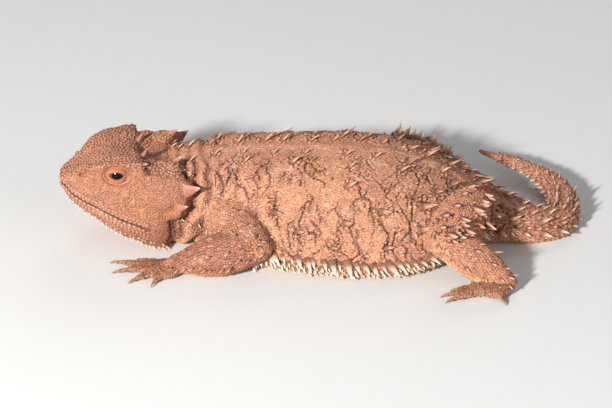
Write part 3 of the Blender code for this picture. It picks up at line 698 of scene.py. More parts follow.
HORNS = (
    Horn("occipital", (-34.4, 3.6, 17.9), (-32.0, 3.5, 20.7), 1.25, 1.0, 0.9),
    Horn("upper_temporal", (-30.1, 6.0, 16.8), (-25.2, 6.0, 19.6), 1.6),
    Horn("main_temporal", (-28.6, 9.2, 14.2), (-22.4, 12.4, 15.7), 2.1, 0.66, 1.5),
    Horn("lower_temporal", (-28.8, 10.0, 11.0), (-24.6, 13.2, 12.1), 1.6),
)
ARM, HIND_LEG = ("upper_arm", "forearm", "hand"), ("thigh", "shank", "foot")
HAND_HALF, FOOT_HALF = (3.7, 3.1, 1.5), (4.4, 2.6, 1.5)
LEGS = (
    Leg(Side.LEFT, ARM,
        Segment((-17.0, 10.5, 9.0), (-10.0, 19.4, 6.2), (4.8, 4.4, 3.6)),
        Segment((-9.4, 19.6, 5.9), (-25.6, 20.2, 2.6), (3.4, 4.1, 2.1)), (-28.0, 20.1, 1.35),
        HAND_HALF,
        ((-33.2, 15.4), (-38.2, 16.4), (-37.6, 20.2), (-34.4, 23.8), (-30.2, 24.9)), 0.9),
    Leg(Side.RIGHT, ARM,
        Segment((-17.0, 10.5, 9.0), (-10.6, 19.2, 5.6), (4.8, 4.3, 3.5)),
        Segment((-10.2, 19.6, 5.2), (-27.4, 18.6, 2.5), (3.4, 3.9, 2.1)), (-29.8, 18.2, 1.35),
        HAND_HALF,
        ((-34.6, 13.6), (-39.4, 14.6), (-40.0, 18.2), (-37.2, 21.8), (-32.4, 23.2)), 0.9),
    Leg(Side.LEFT, HIND_LEG,
        Segment((33.0, 8.0, 8.0), (27.6, 20.8, 8.0), (5.4, 5.2, 4.2)),
        Segment((28.0, 21.5, 8.0), (38.8, 26.2, 2.6), (3.9, 3.8, 2.2)), (36.4, 27.8, 1.4),
        FOOT_HALF,
        ((32.4, 25.8), (29.2, 27.2), (27.2, 29.4), (28.0, 31.4), (38.6, 31.8)), 0.85),
    Leg(Side.RIGHT, HIND_LEG,
        Segment((29.5, 9.0, 5.4), (18.8, 24.0, 4.4), (4.8, 4.4, 3.5)),
        Segment((18.2, 25.2, 4.2), (28.4, 25.8, 2.3), (3.3, 3.2, 2.0)), (26.6, 27.2, 1.4),
        FOOT_HALF,
        ((22.0, 26.0), (18.8, 28.0), (17.2, 30.4), (18.8, 32.6), (28.8, 31.2)), 0.85),
)
# Swellings behind the brows: their middles as (along the head, out, up) and half sizes
LOBES = (
    ((-32.0, 6.4, 14.4), (5.4, 4.2, 4.3)),
    ((-30.2, 7.6, 12.6), (6.2, 4.6, 4.6)),
    ((-28.2, 8.5, 12.0), (3.8, 3.3, 4.6)),
    ((-27.4, 9.4, 13.6), (3.4, 2.6, 3.2)),
)
# Lobes of the margin behind the cheek: from which horn to which, how far across, then their
# reach along the horns, thickness and height
SHELF = (
    (1, 2, 0.0, 3.4, 1.9, 1.7), (1, 2, 0.30, 3.3, 1.7, 1.7), (1, 2, 0.65, 3.6, 1.6, 1.9),
    (2, 3, 0.0, 4.1, 1.7, 2.3), (2, 3, 0.5, 3.4, 1.5, 1.8), (2, 3, 1.0, 3.4, 1.4, 1.7),
    (2, 3, 1.5, 2.6, 1.2, 1.4),
)
# The brow ridge with its radii, how much lower it lies on the right, and the notch behind it
BROW_SPOTS = ((-44.4, 4.8, 17.4), (-42.4, 6.3, 18.6), (-39.8, 7.3, 19.2), (-36.8, 7.7, 19.2),
              (-34.8, 7.8, 19.1), (-33.2, 8.0, 19.3))
BROW_RADII = (0.4, 0.7, 0.8, 0.8, 0.75, 0.25)
RIGHT_BROW_DROP = (1.6, 1.5, 0.9, 0.3, 0.0, 0.2)
BROW_NOTCH = ((-32.6, 8.0, 19.0), (-32.3, 8.2, 18.0), (-31.9, 8.3, 17.6), (-32.4, 8.5, 16.8))
# The line of the mouth from its corner to the snout, as places and turns of the left side
MOUTH_PLACES = (9.1, 8.0, 7.0, 6.0, 5.0, 4.0, 3.0, 2.0, 1.2, 0.6)
MOUTH_TURNS = (0.188, 0.194, 0.200, 0.207, 0.212, 0.217, 0.222, 0.227, 0.231, 0.232)


def eye_frame(side: Side) -> tuple[np.ndarray, ...]:
    """The frame of an eye.

    Args:
        side: Which eye.

    Returns:
        Its middle, and its directions outwards, ahead and up.
    """
    gaze = TRUNK.head_direction(EYE_GAZE, side)
    ahead = TRUNK.head_direction((-1.0, 0.0, 0.1), side)
    ahead = unit(ahead - (ahead @ gaze) * gaze)
    above = np.cross(gaze, ahead)
    return TRUNK.head_point(EYE_PLACE, side), gaze, ahead, above * np.sign(above[2])


def near_eyes(points: np.ndarray, half: tuple[float, float]) -> np.ndarray:
    """Whether points lie in front of an eye's middle and within an ellipse round it.

    Args:
        points: The points.
        half: Half length and half height of the ellipse.

    Returns:
        One truth value for each point.
    """
    near = np.zeros(len(points), bool)
    for side in Side:
        eye, gaze, ahead, above = eye_frame(side)
        offset = points - eye
        beside = np.hypot(offset @ ahead / half[0], offset @ above / half[1])
        near |= (beside < 1) & (offset @ gaze > 0)
    return near


def brow_path(side: Side) -> np.ndarray:
    """The middle line of a brow ridge, a little lower in front on the right."""
    spots = np.array([TRUNK.head_point(spot, side) for spot in BROW_SPOTS])
    spots[:, 2] -= np.array(RIGHT_BROW_DROP) * (side is Side.RIGHT)
    return spots


def mouth_line() -> tuple[np.ndarray, np.ndarray, np.ndarray]:
    """The line of the mouth round the snout.

    Returns:
        Its points, places and turns.
    """
    steps, index = np.linspace(0, len(MOUTH_PLACES) - 1, 60), np.arange(len(MOUTH_PLACES))
    places, turns = np.interp(steps, index, MOUTH_PLACES), np.interp(steps, index, MOUTH_TURNS)
    places = np.concatenate([places, places[::-1]])
    turns = np.concatenate([turns, 1 - turns[::-1]])
    return TRUNK.points(places, turns), places, turns


def distance_to(line: np.ndarray, points: np.ndarray) -> np.ndarray:
    """How far points are from a line of short straight pieces.

    Args:
        line: The ends of the pieces.
        points: The points.

    Returns:
        One distance for each point, 9 where it is far away.
    """
    near = np.flatnonzero(((points > line.min(0) - 3) & (points < line.max(0) + 3)).all(1))
    gaps = np.full(len(points), 9.0)
    start, step = line[:-1], np.diff(line, axis=0)
    offset = points[near][:, None] - start
    share = np.clip((offset * step).sum(2) / np.maximum((step ** 2).sum(1), 1e-9), 0, 1)
    gaps[near] = np.linalg.norm(offset - share[..., None] * step, axis=2).min(1)
    return gaps


Tree = bpy.types.NodeTree
Socket = bpy.types.NodeSocket


class Geometry:
    """Small geometry-node runs, each applied at once, that sample and scatter over a surface."""

    @staticmethod
    def run(obj: bpy.types.Object, build: Callable[[Tree, Socket], Socket]) -> bpy.types.Mesh:
        """Run a node tree over an object.

        Args:
            obj: The object whose mesh goes in.
            build: Adds the nodes from the geometry that goes in to the one that comes out.

        Returns:
            The new mesh.
        """
        tree = bpy.data.node_groups.new("step", "GeometryNodeTree")
        for way in ("INPUT", "OUTPUT"):
            tree.interface.new_socket("Geometry", in_out=way, socket_type="NodeSocketGeometry")
        start, end = tree.nodes.new("NodeGroupInput"), tree.nodes.new("NodeGroupOutput")
        tree.links.new(build(tree, start.outputs[0]), end.inputs[0])
        modifier = obj.modifiers.new("step", "NODES")
        modifier.node_group = tree
        graph = bpy.context.evaluated_depsgraph_get()
        mesh = bpy.data.meshes.new_from_object(obj.evaluated_get(graph))
        obj.modifiers.remove(modifier)
        bpy.data.node_groups.remove(tree)
        return mesh

    @staticmethod
    def live(sockets: Iterable[Socket], name: str) -> Socket:
        """The socket of a name that is in use."""
        return next(one for one in sockets if one.enabled and one.name == name)

    @staticmethod
    def store(tree: Tree, geometry: Socket, name: str, value: Socket) -> Socket:
        """Store a vector field on the points of a geometry.

        Args:
            tree: The node tree.
            geometry: The geometry.
            name: The name to store under.
            value: The field.

        Returns:
            The new geometry.
        """
        node = tree.nodes.new("GeometryNodeStoreNamedAttribute")
        node.data_type = "FLOAT_VECTOR"
        node.domain = "POINT"
        node.inputs["Name"].default_value = name
        tree.links.new(geometry, node.inputs["Geometry"])
        tree.links.new(value, node.inputs["Value"])
        return node.outputs["Geometry"]

    @classmethod
    def named(cls, tree: Tree, name: str, kind: str = "FLOAT_VECTOR") -> Socket:
        """The field of a stored attribute.

        Args:
            tree: The node tree.
            name: The attribute's name.
            kind: Its type.

        Returns:
            The field.
        """
        node = tree.nodes.new("GeometryNodeInputNamedAttribute")
        node.data_type = kind
        node.inputs["Name"].default_value = name
        return cls.live(node.outputs, "Attribute")

    @classmethod
    def sample(cls, obj: bpy.types.Object, source: bpy.types.Object,
               fields: Callable[[Tree], dict[str, Socket]]) -> bpy.types.Mesh:
        """Store vectors of the nearest point of a surface on each point of an object.

        Args:
            obj: The object.
            source: The object with the surface.
            fields: Gives the fields to read, by the names to store them under.

        Returns:
            The object's mesh with the vectors.
        """

        def build(tree: Tree, geometry: Socket) -> Socket:
            """Read and store one field after another, from geometry in to geometry out."""
            info = tree.nodes.new("GeometryNodeObjectInfo")
            info.inputs["Object"].default_value = source
            for name, value in fields(tree).items():
                node = tree.nodes.new("GeometryNodeSampleNearestSurface")
                node.data_type = "FLOAT_VECTOR"
                tree.links.new(info.outputs["Geometry"], node.inputs["Mesh"])
                tree.links.new(value, cls.live(node.inputs, "Value"))
                geometry = cls.store(tree, geometry, name, cls.live(node.outputs, "Value"))
            return geometry

        return cls.run(obj, build)

    @classmethod
    def nearest(cls, skin: bpy.types.Object, points: np.ndarray,
                mask: str = "mask_body") -> dict[str, np.ndarray]:
        """Where points lie over the skin.

        Args:
            skin: The surface.
            points: Points near it.
            mask: The mask of a zone to read too.

        Returns:
            For each point its nearest spot on the skin, the normal, and the part, crease ("sunk")
            and mask stored there.
        """
        probe = new_object("probe", points, np.zeros((0, 3), int))
        mesh = cls.sample(probe, skin, lambda tree: {
            "spot": tree.nodes.new("GeometryNodeInputPosition").outputs[0],
            "normal": tree.nodes.new("GeometryNodeInputNormal").outputs[0],
            "part": cls.named(tree, "part"), "sunk": cls.named(tree, "crease", "FLOAT"),
            "mask": cls.named(tree, mask, "FLOAT")})
        names = ("spot", "normal", "part", "sunk", "mask")
        found = {name: get_attribute(mesh, name, 3) for name in names}
        bpy.data.objects.remove(probe)
        bpy.data.meshes.remove(mesh)
        found["spot"] = found["spot"] / MM - SHIFT
        found["sunk"], found["mask"] = found["sunk"][:, 0], found["mask"][:, 0]
        return found

    @classmethod
    def scatter(cls, skin: bpy.types.Object, mask: str, spacing: float,
                seed: int) -> bpy.types.Mesh:
        """Spread points over the skin that keep a spacing in millimetres from one another.

        Args:
            skin: The surface, with a mask of 0 and 1 stored on it.
            mask: The name of the mask.
            spacing: The least distance between points.
            seed: Picks another spread.

        Returns:
            A mesh of loose points that keeps the skin's attributes and its normal as "upward".
        """

        def build(tree: Tree, geometry: Socket) -> Socket:
            """Scatter the points over the geometry, store the normal and make them vertices."""
            node = tree.nodes.new("GeometryNodeDistributePointsOnFaces")
            node.distribute_method = "POISSON"
            node.inputs["Distance Min"].default_value = spacing * MM
            node.inputs["Density Max"].default_value = 7.0 / (spacing * MM) ** 2
            node.inputs["Seed"].default_value = seed
            tree.links.new(geometry, node.inputs["Mesh"])
            tree.links.new(cls.named(tree, mask, "FLOAT"), node.inputs["Density Factor"])
            stored = cls.store(tree, node.outputs["Points"], "upward", node.outputs["Normal"])
            turn = tree.nodes.new("GeometryNodePointsToVertices")
            tree.links.new(stored, turn.inputs[0])
            return turn.outputs[0]

        return cls.run(skin, build)


@dataclass
class Cracks:
    """Fine cracks of the dry skin of flank and back: short lines that wander down the side.

    Attributes:
        counts: How many long and how many short lines.
        runs: The first and last distance along the body in millimetres.
        arounds: The least and largest distance from the ridge of the back.
        lengths: Least and largest length of a long and of a short line.
        widths: Least and largest half width of a long and of a short line.
        step: Length of one step of a line.
        seed: Picks the lines.
    """

    counts: tuple[int, int] = (170, 360)
    runs: tuple[float, float] = (25.0, 79.0)
    arounds: tuple[float, float] = (1.0, 25.0)
    lengths: tuple[tuple[float, float], ...] = ((3.5, 11.0), (1.0, 3.6))
    widths: tuple[tuple[float, float], ...] = ((0.10, 0.20), (0.06, 0.13))
    step: float = 0.6
    seed: int = 77
    lines: list[np.ndarray] = field(init=False, default_factory=list)
    halves: list[float] = field(init=False, default_factory=list)

    def __post_init__(self) -> None:
        """Draw every line as a walk of short steps, mostly down the side, and some branches."""
        chance = np.random.default_rng(self.seed)
        for size in (0, 1):
            for number in range(self.counts[size]):
                way = -1.0 if number % 2 else 1.0
                start = np.array((chance.uniform(*self.runs), way * chance.uniform(*self.arounds)))
                length = chance.uniform(*self.lengths[size])
                branch = number % 3 == 2 and size == 1
                if branch:
                    parent = self.lines[chance.integers(self.counts[0])]
                    start = parent[chance.integers(len(parent))]
                steps = max(3, int(length / self.step))
                angle = chance.normal(0, 0.25) + chance.choice((-1, 1)) * 0.8 * branch
                swing = np.cumsum(chance.normal(0, 0.55, steps + 4))
                swing = swing[4:] - np.convolve(swing, np.ones(5) / 5, "valid")
                down = np.sign(start[1]) * np.cos(angle + swing)
                walk = self.step * np.column_stack([np.sin(angle + swing), down])
                self.lines.append(np.concatenate([start[None], start + np.cumsum(walk, axis=0)]))
                self.halves.append(chance.uniform(*self.widths[size]))

    def strength(self, run: np.ndarray, around: np.ndarray) -> tuple[np.ndarray, np.ndarray]:
        """How deep in a crack and how near beside one each place lies, as bells across it.

        Args:
            run: Distances along the body in millimetres.
            around: Distances round it from the ridge of the back.

        Returns:
            The depth of the crack and the height of its edges, from 0 to 1.
        """
        order = np.argsort(run)
        spots = np.column_stack([run, around])[order]
        line, edge = np.zeros(len(run)), np.zeros(len(run))
        for walk, half in zip(self.lines, self.halves):
            low, high = walk.min(0) - 1.0, walk.max(0) + 1.0
            first, last = np.searchsorted(spots[:, 0], (low[0], high[0]))
            up = spots[first:last, 1]
            near = first + np.flatnonzero((up > low[1]) & (up < high[1]))
            start, step = walk[:-1], np.diff(walk, axis=0)
            offset = spots[near][:, None] - start
            share = np.clip((offset * step).sum(2) / (step ** 2).sum(1), 0, 1)
            gap = np.linalg.norm(offset - share[..., None] * step, axis=2)
            if gap.size:
                place = (gap.argmin(1) + 0.5) / len(step)
                taper = np.clip(4 * np.minimum(place, 1 - place), 0.3, 1.0)
                here, nearest = order[near], gap.min(1)
                line[here] = np.maximum(line[here], taper * bell(nearest, half))
                beside = taper * bell(nearest - 2.2 * half, 1.3 * half)
                edge[here] = np.maximum(edge[here], beside)
        return line, edge


CRACKS = Cracks()


def spread_of(site: np.ndarray) -> tuple[np.ndarray, np.ndarray]:
    """Distances along the trunk and round it from the ridge of the back, of sites."""
    return TRUNK.run_at(site[:, 0]), (turn_of(site) - 0.5) * TRUNK.girth_at(site[:, 0])


def zones_of(points: np.ndarray, site: np.ndarray,
             parts: np.ndarray) -> tuple[np.ndarray, np.ndarray]:
    """The weights that the colours go by.

    Args:
        points: Points of the skin.
        site: Their sites.
        parts: Their region and limb.

    Returns:
        The weights of head, limb and tail of each point, and that of the pale underside.
    """
    trunk = parts[:, 0] < 0.5
    head = trunk * (1 - smooth_step(HEAD_END - 0.6, HEAD_END + 1.2, site[:, 0]))
    tail = trunk * smooth_step(BODY_END - 2.0, BODY_END + 0.6, site[:, 0])
    # The limb weight is partly the limbs' own red-brown and partly painted shade: it is highest on
    # forearms, hands and feet, lower on the upper arms and much lower on the hind legs.
    limb = np.where(Region.UPPER_LIMB.has(parts), 0.7 * smooth_step(0.15, 0.6, site[:, 0]), ~trunk)
    limb = limb * (1 - 0.55 * ((parts[:, 1] > 2.5) & ~Region.FOOT.has(parts)))
    turn = turn_of(site)
    higher = 0.06 * (1 - smooth_step(13.2, 15.0, site[:, 0]))
    higher = higher + 0.012 * lattice_noise(points / 2, 3)
    under = 1 - smooth_step(0.165, 0.238, np.minimum(turn, 1 - turn) + higher)
    under = np.where(trunk, trunk * under * (1 - 0.6 * tail),
                     0.5 * (1 - smooth_step(0.3, 2.4, points[:, 2])))
    for number, leg in enumerate(LEGS[2:], 3):
        way = leg.way(leg.lower)
        offset = points - leg.point(leg.lower.start)
        offset = unit(offset - (offset @ way)[:, None] * way)
        front = 0.8 * smooth_step(0.45, 0.95, offset @ leg.point((-0.88, 0.1, -0.45)))
        here = np.round(parts[:, :2]) == (Region.LOWER_LIMB.value, number)
        under = np.where(here.all(1), np.maximum(under, front), under)
    return np.column_stack([head, limb, tail]), under


@dataclass(frozen=True)
class Fold:
    """A fold of the neck: its place on the flank, how far it runs forward below, its depth and
    its half width."""

    place: float
    slant: float
    depth: float
    width: float


NECK_FOLDS = (Fold(11.75, 2.5, 0.5, 0.5), Fold(12.55, 4.0, 0.8, 0.6), Fold(13.2, 5.0, 0.9, 0.6),
              Fold(13.95, 4.0, 1.15, 0.7), Fold(14.6, 2.0, 0.4, 0.5))


@dataclass
class Relief:
    """The fine relief of the skin, as dips and swellings of bell shape across lines and spots.

    Attributes:
        points: The vertices.
        site: Their sites.
        parts: Their region and limb.
        hollow: Depth and half width of the hollow under a brow.
        edge: Height and half width of the brow's edge.
        notch: Depth and half width of the notch behind a brow.
        line: Depth and half width of the line of the mouth.
        lip: Height and half width of a lip.
        pit: Depth and half width of a nostril.
        rise: How far each moves along its normal, in millimetres.
        crease: How deep in a crease each lies, from 0 to 1, which sets the painted shade there.
    """

    points: np.ndarray
    site: np.ndarray
    parts: np.ndarray
    hollow: tuple[float, float] = (0.42, 0.6)
    edge: tuple[float, float] = (0.3, 0.7)
    notch: tuple[float, float] = (0.6, 0.33)
    line: tuple[float, float] = (0.42, 0.3)
    lip: tuple[float, float] = (0.14, 0.45)
    pit: tuple[float, float] = (0.8, 0.55)
    rise: np.ndarray = field(init=False)
    crease: np.ndarray = field(init=False)

    def __post_init__(self) -> None:
        """Start level, and measure where each vertex lies."""
        self.rise, self.crease = np.zeros(len(self.points)), np.zeros(len(self.points))
        self.on_trunk = self.parts[:, 0] < 0.5
        self.run, self.around = spread_of(self.site)
        turn = turn_of(self.site)
        self.low_turn = np.minimum(turn, 1 - turn)

    def darken(self, crease: np.ndarray) -> None:
        """Count the vertices as lying at least so deep in a crease, which paints shade on them."""
        self.crease = np.maximum(self.crease, crease)

    def roughen(self, height: float) -> None:
        """Add a soft unevenness: noise with a coarse and a fine step."""
        for step, share, seed in ((3.4, 1.0, 5), (1.3, 0.45, 6)):
            self.rise += share * height * lattice_noise(self.points / step, seed)

    def fold(self, fold: Fold) -> None:
        """Sink a fold of the neck along its slanting, wandering line with painted shade in it, and
        swell the skin behind.

        Args:
            fold: The fold.
        """
        line = fold.place - fold.slant * np.clip(0.36 - self.low_turn, 0, 0.3)
        spots = np.column_stack([self.around / 3.0, np.zeros(len(line))])
        gap = self.run - TRUNK.run_at(line) + 0.5 * lattice_noise(spots, 8)
        strength = self.on_trunk * smooth_step(0.06, 0.14, self.low_turn)
        strength = strength * (1 - 0.65 * smooth_step(0.38, 0.46, self.low_turn))
        dip = bell(gap, fold.width)
        self.rise -= fold.depth * strength * dip
        self.rise += 0.4 * fold.depth * strength * bell(gap - 2.6 * fold.width, 1.6 * fold.width)
        self.darken(strength * dip * min(1.0, fold.depth / 0.7))

    def cracks(self, depth: float) -> None:
        """Sink the cracks of back and flanks with painted shade in them, swell their edges and the
        ridge of the back.

        Args:
            depth: Depth of a crack in millimetres.
        """
        place = self.site[:, 0]
        line, edge = CRACKS.strength(self.run, self.around)
        fade = self.on_trunk * (1 - 0.5 * smooth_step(0.44, 0.49, self.low_turn))
        fade = fade * (0.15 + 0.85 * smooth_step(NECK_END, 14.6, place))
        self.rise += fade * (0.16 * edge - depth * line)
        self.darken(fade * line)
        body = self.on_trunk * smooth_step(NECK_END, 14.2, place)
        body = body * (1 - smooth_step(21.6, 22.6, place)) * smooth_step(0.235, 0.27, self.low_turn)
        self.rise += 0.3 * body * bell(self.around, 1.3)

    def brow(self, side: Side) -> None:
        """Raise the edge of a brow, hollow the skin under it and cut the notch behind it, with a
        painted shadow in the notch.

        Args:
            side: Which brow.
        """
        ridge, (deep, wide), (high, broad) = brow_path(side)[1:], self.hollow, self.edge
        self.rise -= deep * bell(distance_to(ridge + (0.0, 0.0, -1.5), self.points), wide)
        self.rise += high * bell(distance_to(ridge, self.points), broad)
        spots = [TRUNK.head_point(spot, side) for spot in BROW_NOTCH]
        spots = [self.points[((self.points - spot) ** 2).sum(1).argmin()] for spot in spots]
        dip = bell(distance_to(np.array(spots), self.points), self.notch[1])
        self.rise -= self.notch[0] * dip
        self.darken(dip)

    def mouth(self) -> None:
        """Sink the line of the mouth with painted shade in it, and swell the lips beside it."""
        gap, (high, broad) = distance_to(mouth_line()[0], self.points), self.lip
        dip = bell(gap, self.line[1]) * self.on_trunk
        self.rise += self.on_trunk * (-self.line[0] * dip + high * bell(gap - 0.8, broad))
        self.darken(0.85 * dip)

    def nostril(self, side: Side) -> None:
        """Sink the pit of a nostril, with painted shade in it.

        Args:
            side: Which nostril.
        """
        gap = self.points - TRUNK.head_point(NOSTRIL_PLACE, side)
        dip = bell(np.linalg.norm(gap, axis=1), self.pit[1])
        self.rise -= self.pit[0] * dip
        self.darken(np.minimum(dip * 1.3, 1.0))


@dataclass
class Skin:
    """The continuous skin: the union of trunk, legs and swellings, smoothed and creased.

    Attributes:
        voxel: Step of the union's grid.
        fairing: Rounds of smoothing that keep the volume.
        joint_rounds: Rounds of plain smoothing where one part meets another.
        undulation: Height of the soft unevenness of the skin.
        crack_depth: Depth of the upright cracks of the flank.
        trunk_rings: Rings of the head and of the rest of the trunk.
        trunk_sides: Points of a ring of the trunk.
        eye_mound: Half sizes of the swelling under the lids, out, along and up.
        cup: Half length and half height of the cup behind an eye.
        cup_depth: How far behind the eye's middle the cup reaches.
        eye_patch: Half length and half height of the bare skin under the lids.
        ground_gap: Height over the ground under which no scales grow.
        feet_dark: How much painted shade lies on the skin of the feet, between their scales.
    """

    voxel: float = 0.36
    fairing: int = 5
    joint_rounds: int = 14
    undulation: float = 0.16
    crack_depth: float = 0.6
    trunk_rings: tuple[int, int] = (150, 300)
    trunk_sides: int = 120
    eye_mound: Spot = (2.45, 3.1, 2.75)
    cup: tuple[float, float] = (2.85, 2.0)
    cup_depth: float = 2.4
    eye_patch: tuple[float, float] = (3.3, 2.45)
    ground_gap: float = 0.25
    feet_dark: float = 0.25
    obj: bpy.types.Object = field(init=False)

    def trunk_patch(self) -> Patch:
        """The loft of head, body and tail.

        Returns:
            The patch, drawn to a pole at each end.
        """
        head, rest = self.trunk_rings
        places = np.concatenate([np.linspace(0, 12, head), np.linspace(12, LAST, rest)[1:]])
        rings, sites = TRUNK.grid(places, self.trunk_sides)
        for end in (0, -1):
            rings[end] = rings[end].mean(0) + (rings[end] - rings[end].mean(0)) * 0.01
        return Patch(rings, sites)

    def head_patches(self) -> list[Patch]:
        """Lobes behind the brows, brow ridges, mounds under the lids and the cheeks' margins.

        Returns:
            One patch for each, with sites that end where the head does.
        """
        made = []
        for side in Side:
            for centre, half in LOBES:
                axis = TRUNK.head_direction((1.0, 0.25, 0.0), side)
                made.append(ellipsoid(TRUNK.head_point(centre, side), half, axis))
            spots, count = brow_path(side), 40
            steps = np.linspace(0, len(spots) - 1, count)
            radii = along(np.array(BROW_RADII)[:, None], steps)[:, 0]
            number = np.minimum(np.arange(count), np.arange(count)[::-1])
            ends = np.clip(number / 2.5, 0.03, 1) ** 0.5
            made.append(swept(along(spots, steps), radii * ends, 16, 0.8))
            eye, gaze, *_ = eye_frame(side)
            made.append(ellipsoid(eye, self.eye_mound, gaze))
        patches = []
        for rings in made + self.shelf(Side.LEFT) + self.shelf(Side.RIGHT):
            sites = head_sites(rings)
            sites[..., 0] = np.minimum(sites[..., 0], HEAD_END - 1.2)
            patches.append(Patch(rings, sites))
        return patches

    @staticmethod
    def shelf(side: Side) -> list[np.ndarray]:
        """The thin margin at the back of the cheek, out of which the temporal horns grow.

        Args:
            side: Which cheek.

        Returns:
            The rings of each of its lobes.
        """
        made = []
        ends = [np.array((TRUNK.head_point(horn.root, side), TRUNK.head_point(horn.tip, side)))
                for horn in HORNS]
        for first, last, share, *half in SHELF:
            root, tip = ends[first] * (1 - share) + ends[last] * share
            way = unit(unit(tip - root) + 0.8 * TRUNK.head_direction((1.0, 0.15, 0.0), side))
            made.append(ellipsoid(root + way * half[0] * 0.25, half, way))
        return made

    @staticmethod
    def leg_patches() -> list[Patch]:
        """Both lengths, the palm and the toes of each leg.

        Returns:
            One patch for each, with the share along it and the turn round it as its sites.
        """
        made = []
        for number, leg in enumerate(LEGS, 1):
            tubes = [(swept(*leg.length(segment), 32), region) for segment, region in leg.lengths()]
            tubes.append((ellipsoid(leg.point(leg.palm), leg.palm_half, (1.0, 0.0, 0.0)),
                          Region.FOOT))
            tubes += [(swept(*leg.toe(tip), 16, 0.92), Region.FOOT) for tip in leg.toes]
            for rings, region in tubes:
                share = np.linspace(0, 1, rings.shape[0])[:, None] * np.ones(rings.shape[1])
                angle = circle(rings.shape[1], 0.5) * np.ones(rings.shape[:2])
                made.append(Patch(rings, site_of(share, angle), region, number))
        return made

    def union(self) -> tuple[bpy.types.Object, bpy.types.Object]:
        """Join all patches, and wrap a closed skin round them on a fine grid.

        Returns:
            The patches as one loose mesh, and the skin.
        """
        patches = [self.trunk_patch()] + self.head_patches() + self.leg_patches()
        faces, parts, first = [], [], 0
        for patch in patches:
            shape = patch.rings.shape[:2]
            faces.append(outward(grid_faces(*shape), patch.rings) + first)
            parts.append(np.tile((patch.region.value, patch.limb, 0), (math.prod(shape), 1)))
            first += math.prod(shape)
        points = np.concatenate([patch.rings.reshape(-1, 3) for patch in patches])
        source = new_object("sources", points, np.concatenate(faces))
        sites = np.concatenate([patch.sites.reshape(-1, 3) for patch in patches])
        set_attribute(source, "site", sites)
        set_attribute(source, "part", np.concatenate(parts))
        modifier = source.modifiers.new("wrap", "REMESH")
        modifier.mode = "VOXEL"
        modifier.voxel_size = self.voxel * MM
        graph = bpy.context.evaluated_depsgraph_get()
        mesh = bpy.data.meshes.new_from_object(source.evaluated_get(graph))
        source.modifiers.clear()
        skin = bpy.data.objects.new("skin", mesh)
        bpy.context.scene.collection.objects.link(skin)
        return source, skin

    @staticmethod
    def smoothed(points: np.ndarray, edges: np.ndarray, factors: tuple[float, ...],
                 weights: np.ndarray | float = 1.0) -> np.ndarray:
        """Move points towards the mean of their neighbours.

        Args:
            points: The points.
            edges: Pairs of neighbours.
            factors: The share of the way, one for each round.
            weights: How much each point takes part.

        Returns:
            The moved points.
        """
        ends = np.concatenate([edges, edges[:, ::-1]])
        degree = np.bincount(ends[:, 0], minlength=len(points))[:, None]
        for factor in factors:
            sums = [np.bincount(ends[:, 0], points[ends[:, 1], axis], len(points))
                    for axis in range(3)]
            mean = np.stack(sums, axis=1) / np.maximum(degree, 1)
            points = points + factor * weights * (mean - points)
        return points

    @staticmethod
    def joint_weights(parts: np.ndarray, edges: np.ndarray) -> np.ndarray:
        """How near each vertex is to where two parts meet.

        Args:
            parts: Region and limb of each vertex.
            edges: Pairs of neighbours.

        Returns:
            1 at the joint, falling to 0 some rings away, as a column.
        """
        kind = parts[:, 0] * 10 + parts[:, 1]
        kind = np.where(parts[:, 0] == Region.FOOT.value, kind - 10, kind)
        mixed = kind[edges[:, 0]] != kind[edges[:, 1]]
        weights = np.zeros(len(parts))
        weights[edges[mixed].ravel()] = 1.0
        for _ in range(7):
            spread = np.zeros(len(parts))
            np.maximum.at(spread, edges[:, 0], weights[edges[:, 1]] - 0.13)
            np.maximum.at(spread, edges[:, 1], weights[edges[:, 0]] - 0.13)
            weights = np.maximum(weights, spread)
        return weights[:, None]

    def build(self) -> bpy.types.Object:
        """Make the skin with its sites, creases and zones stored on it.

        Returns:
            The skin, not yet dressed.
        """
        source, self.obj = self.union()
        mesh = self.obj.data = Geometry.sample(self.obj, source, lambda tree: {
            name: Geometry.named(tree, name) for name in ("site", "part")})
        bpy.data.objects.remove(source)
        edges = np.empty(len(mesh.edges) * 2, np.int32)
        mesh.edges.foreach_get("vertices", edges)
        edges = edges.reshape(-1, 2)
        parts, site = get_attribute(mesh, "part", 3), get_attribute(mesh, "site", 3)
        points = self.smoothed(get_points(mesh), edges, (0.5, -0.53) * self.fairing)
        weights = self.joint_weights(parts, edges)
        points = self.smoothed(points, edges, (0.6,) * self.joint_rounds, weights)
        put_points(mesh, points)
        mesh.update()
        relief = Relief(points, site, parts)
        relief.roughen(self.undulation)
        for fold in NECK_FOLDS:
            relief.fold(fold)
        relief.cracks(self.crack_depth)
        # Painted shade over the skin of the feet.
        relief.darken(self.feet_dark * Region.FOOT.has(parts))
        for side in Side:
            relief.brow(side)
        relief.mouth()
        for side in Side:
            relief.nostril(side)
        normals = np.empty(len(points) * 3, np.float32)
        mesh.vertex_normals.foreach_get("vector", normals)
        points = points + relief.rise[:, None] * normals.reshape(-1, 3).astype(float)
        points = self.eye_cups(points)
        points[:, 2] = np.maximum(points[:, 2], 0.0)
        put_points(mesh, points)
        mesh.update()
        # The crease sets the painted shade of skin and coat.
        set_attribute(self.obj, "crease", relief.crease)
        self.store_zones(points, site, parts)
        mesh.shade_smooth()
        return self.obj

    def eye_cups(self, points: np.ndarray) -> np.ndarray:
        """Sink the skin behind each eye into half an ellipsoid that the lids cover.

        Args:
            points: The vertices.

        Returns:
            The moved vertices.
        """
        for side in Side:
            eye, gaze, ahead, above = eye_frame(side)
            offset = points - eye
            depth = offset @ gaze
            beside = np.hypot(offset @ ahead / self.cup[0], offset @ above / self.cup[1])
            floor = -self.cup_depth * np.sqrt(np.maximum(1 - beside ** 2, 0.0))
            inside = (beside < 1) & (depth > floor) & (depth > -3.5)
            points = np.where(inside[:, None], points + (floor - depth)[:, None] * gaze, points)
        return points

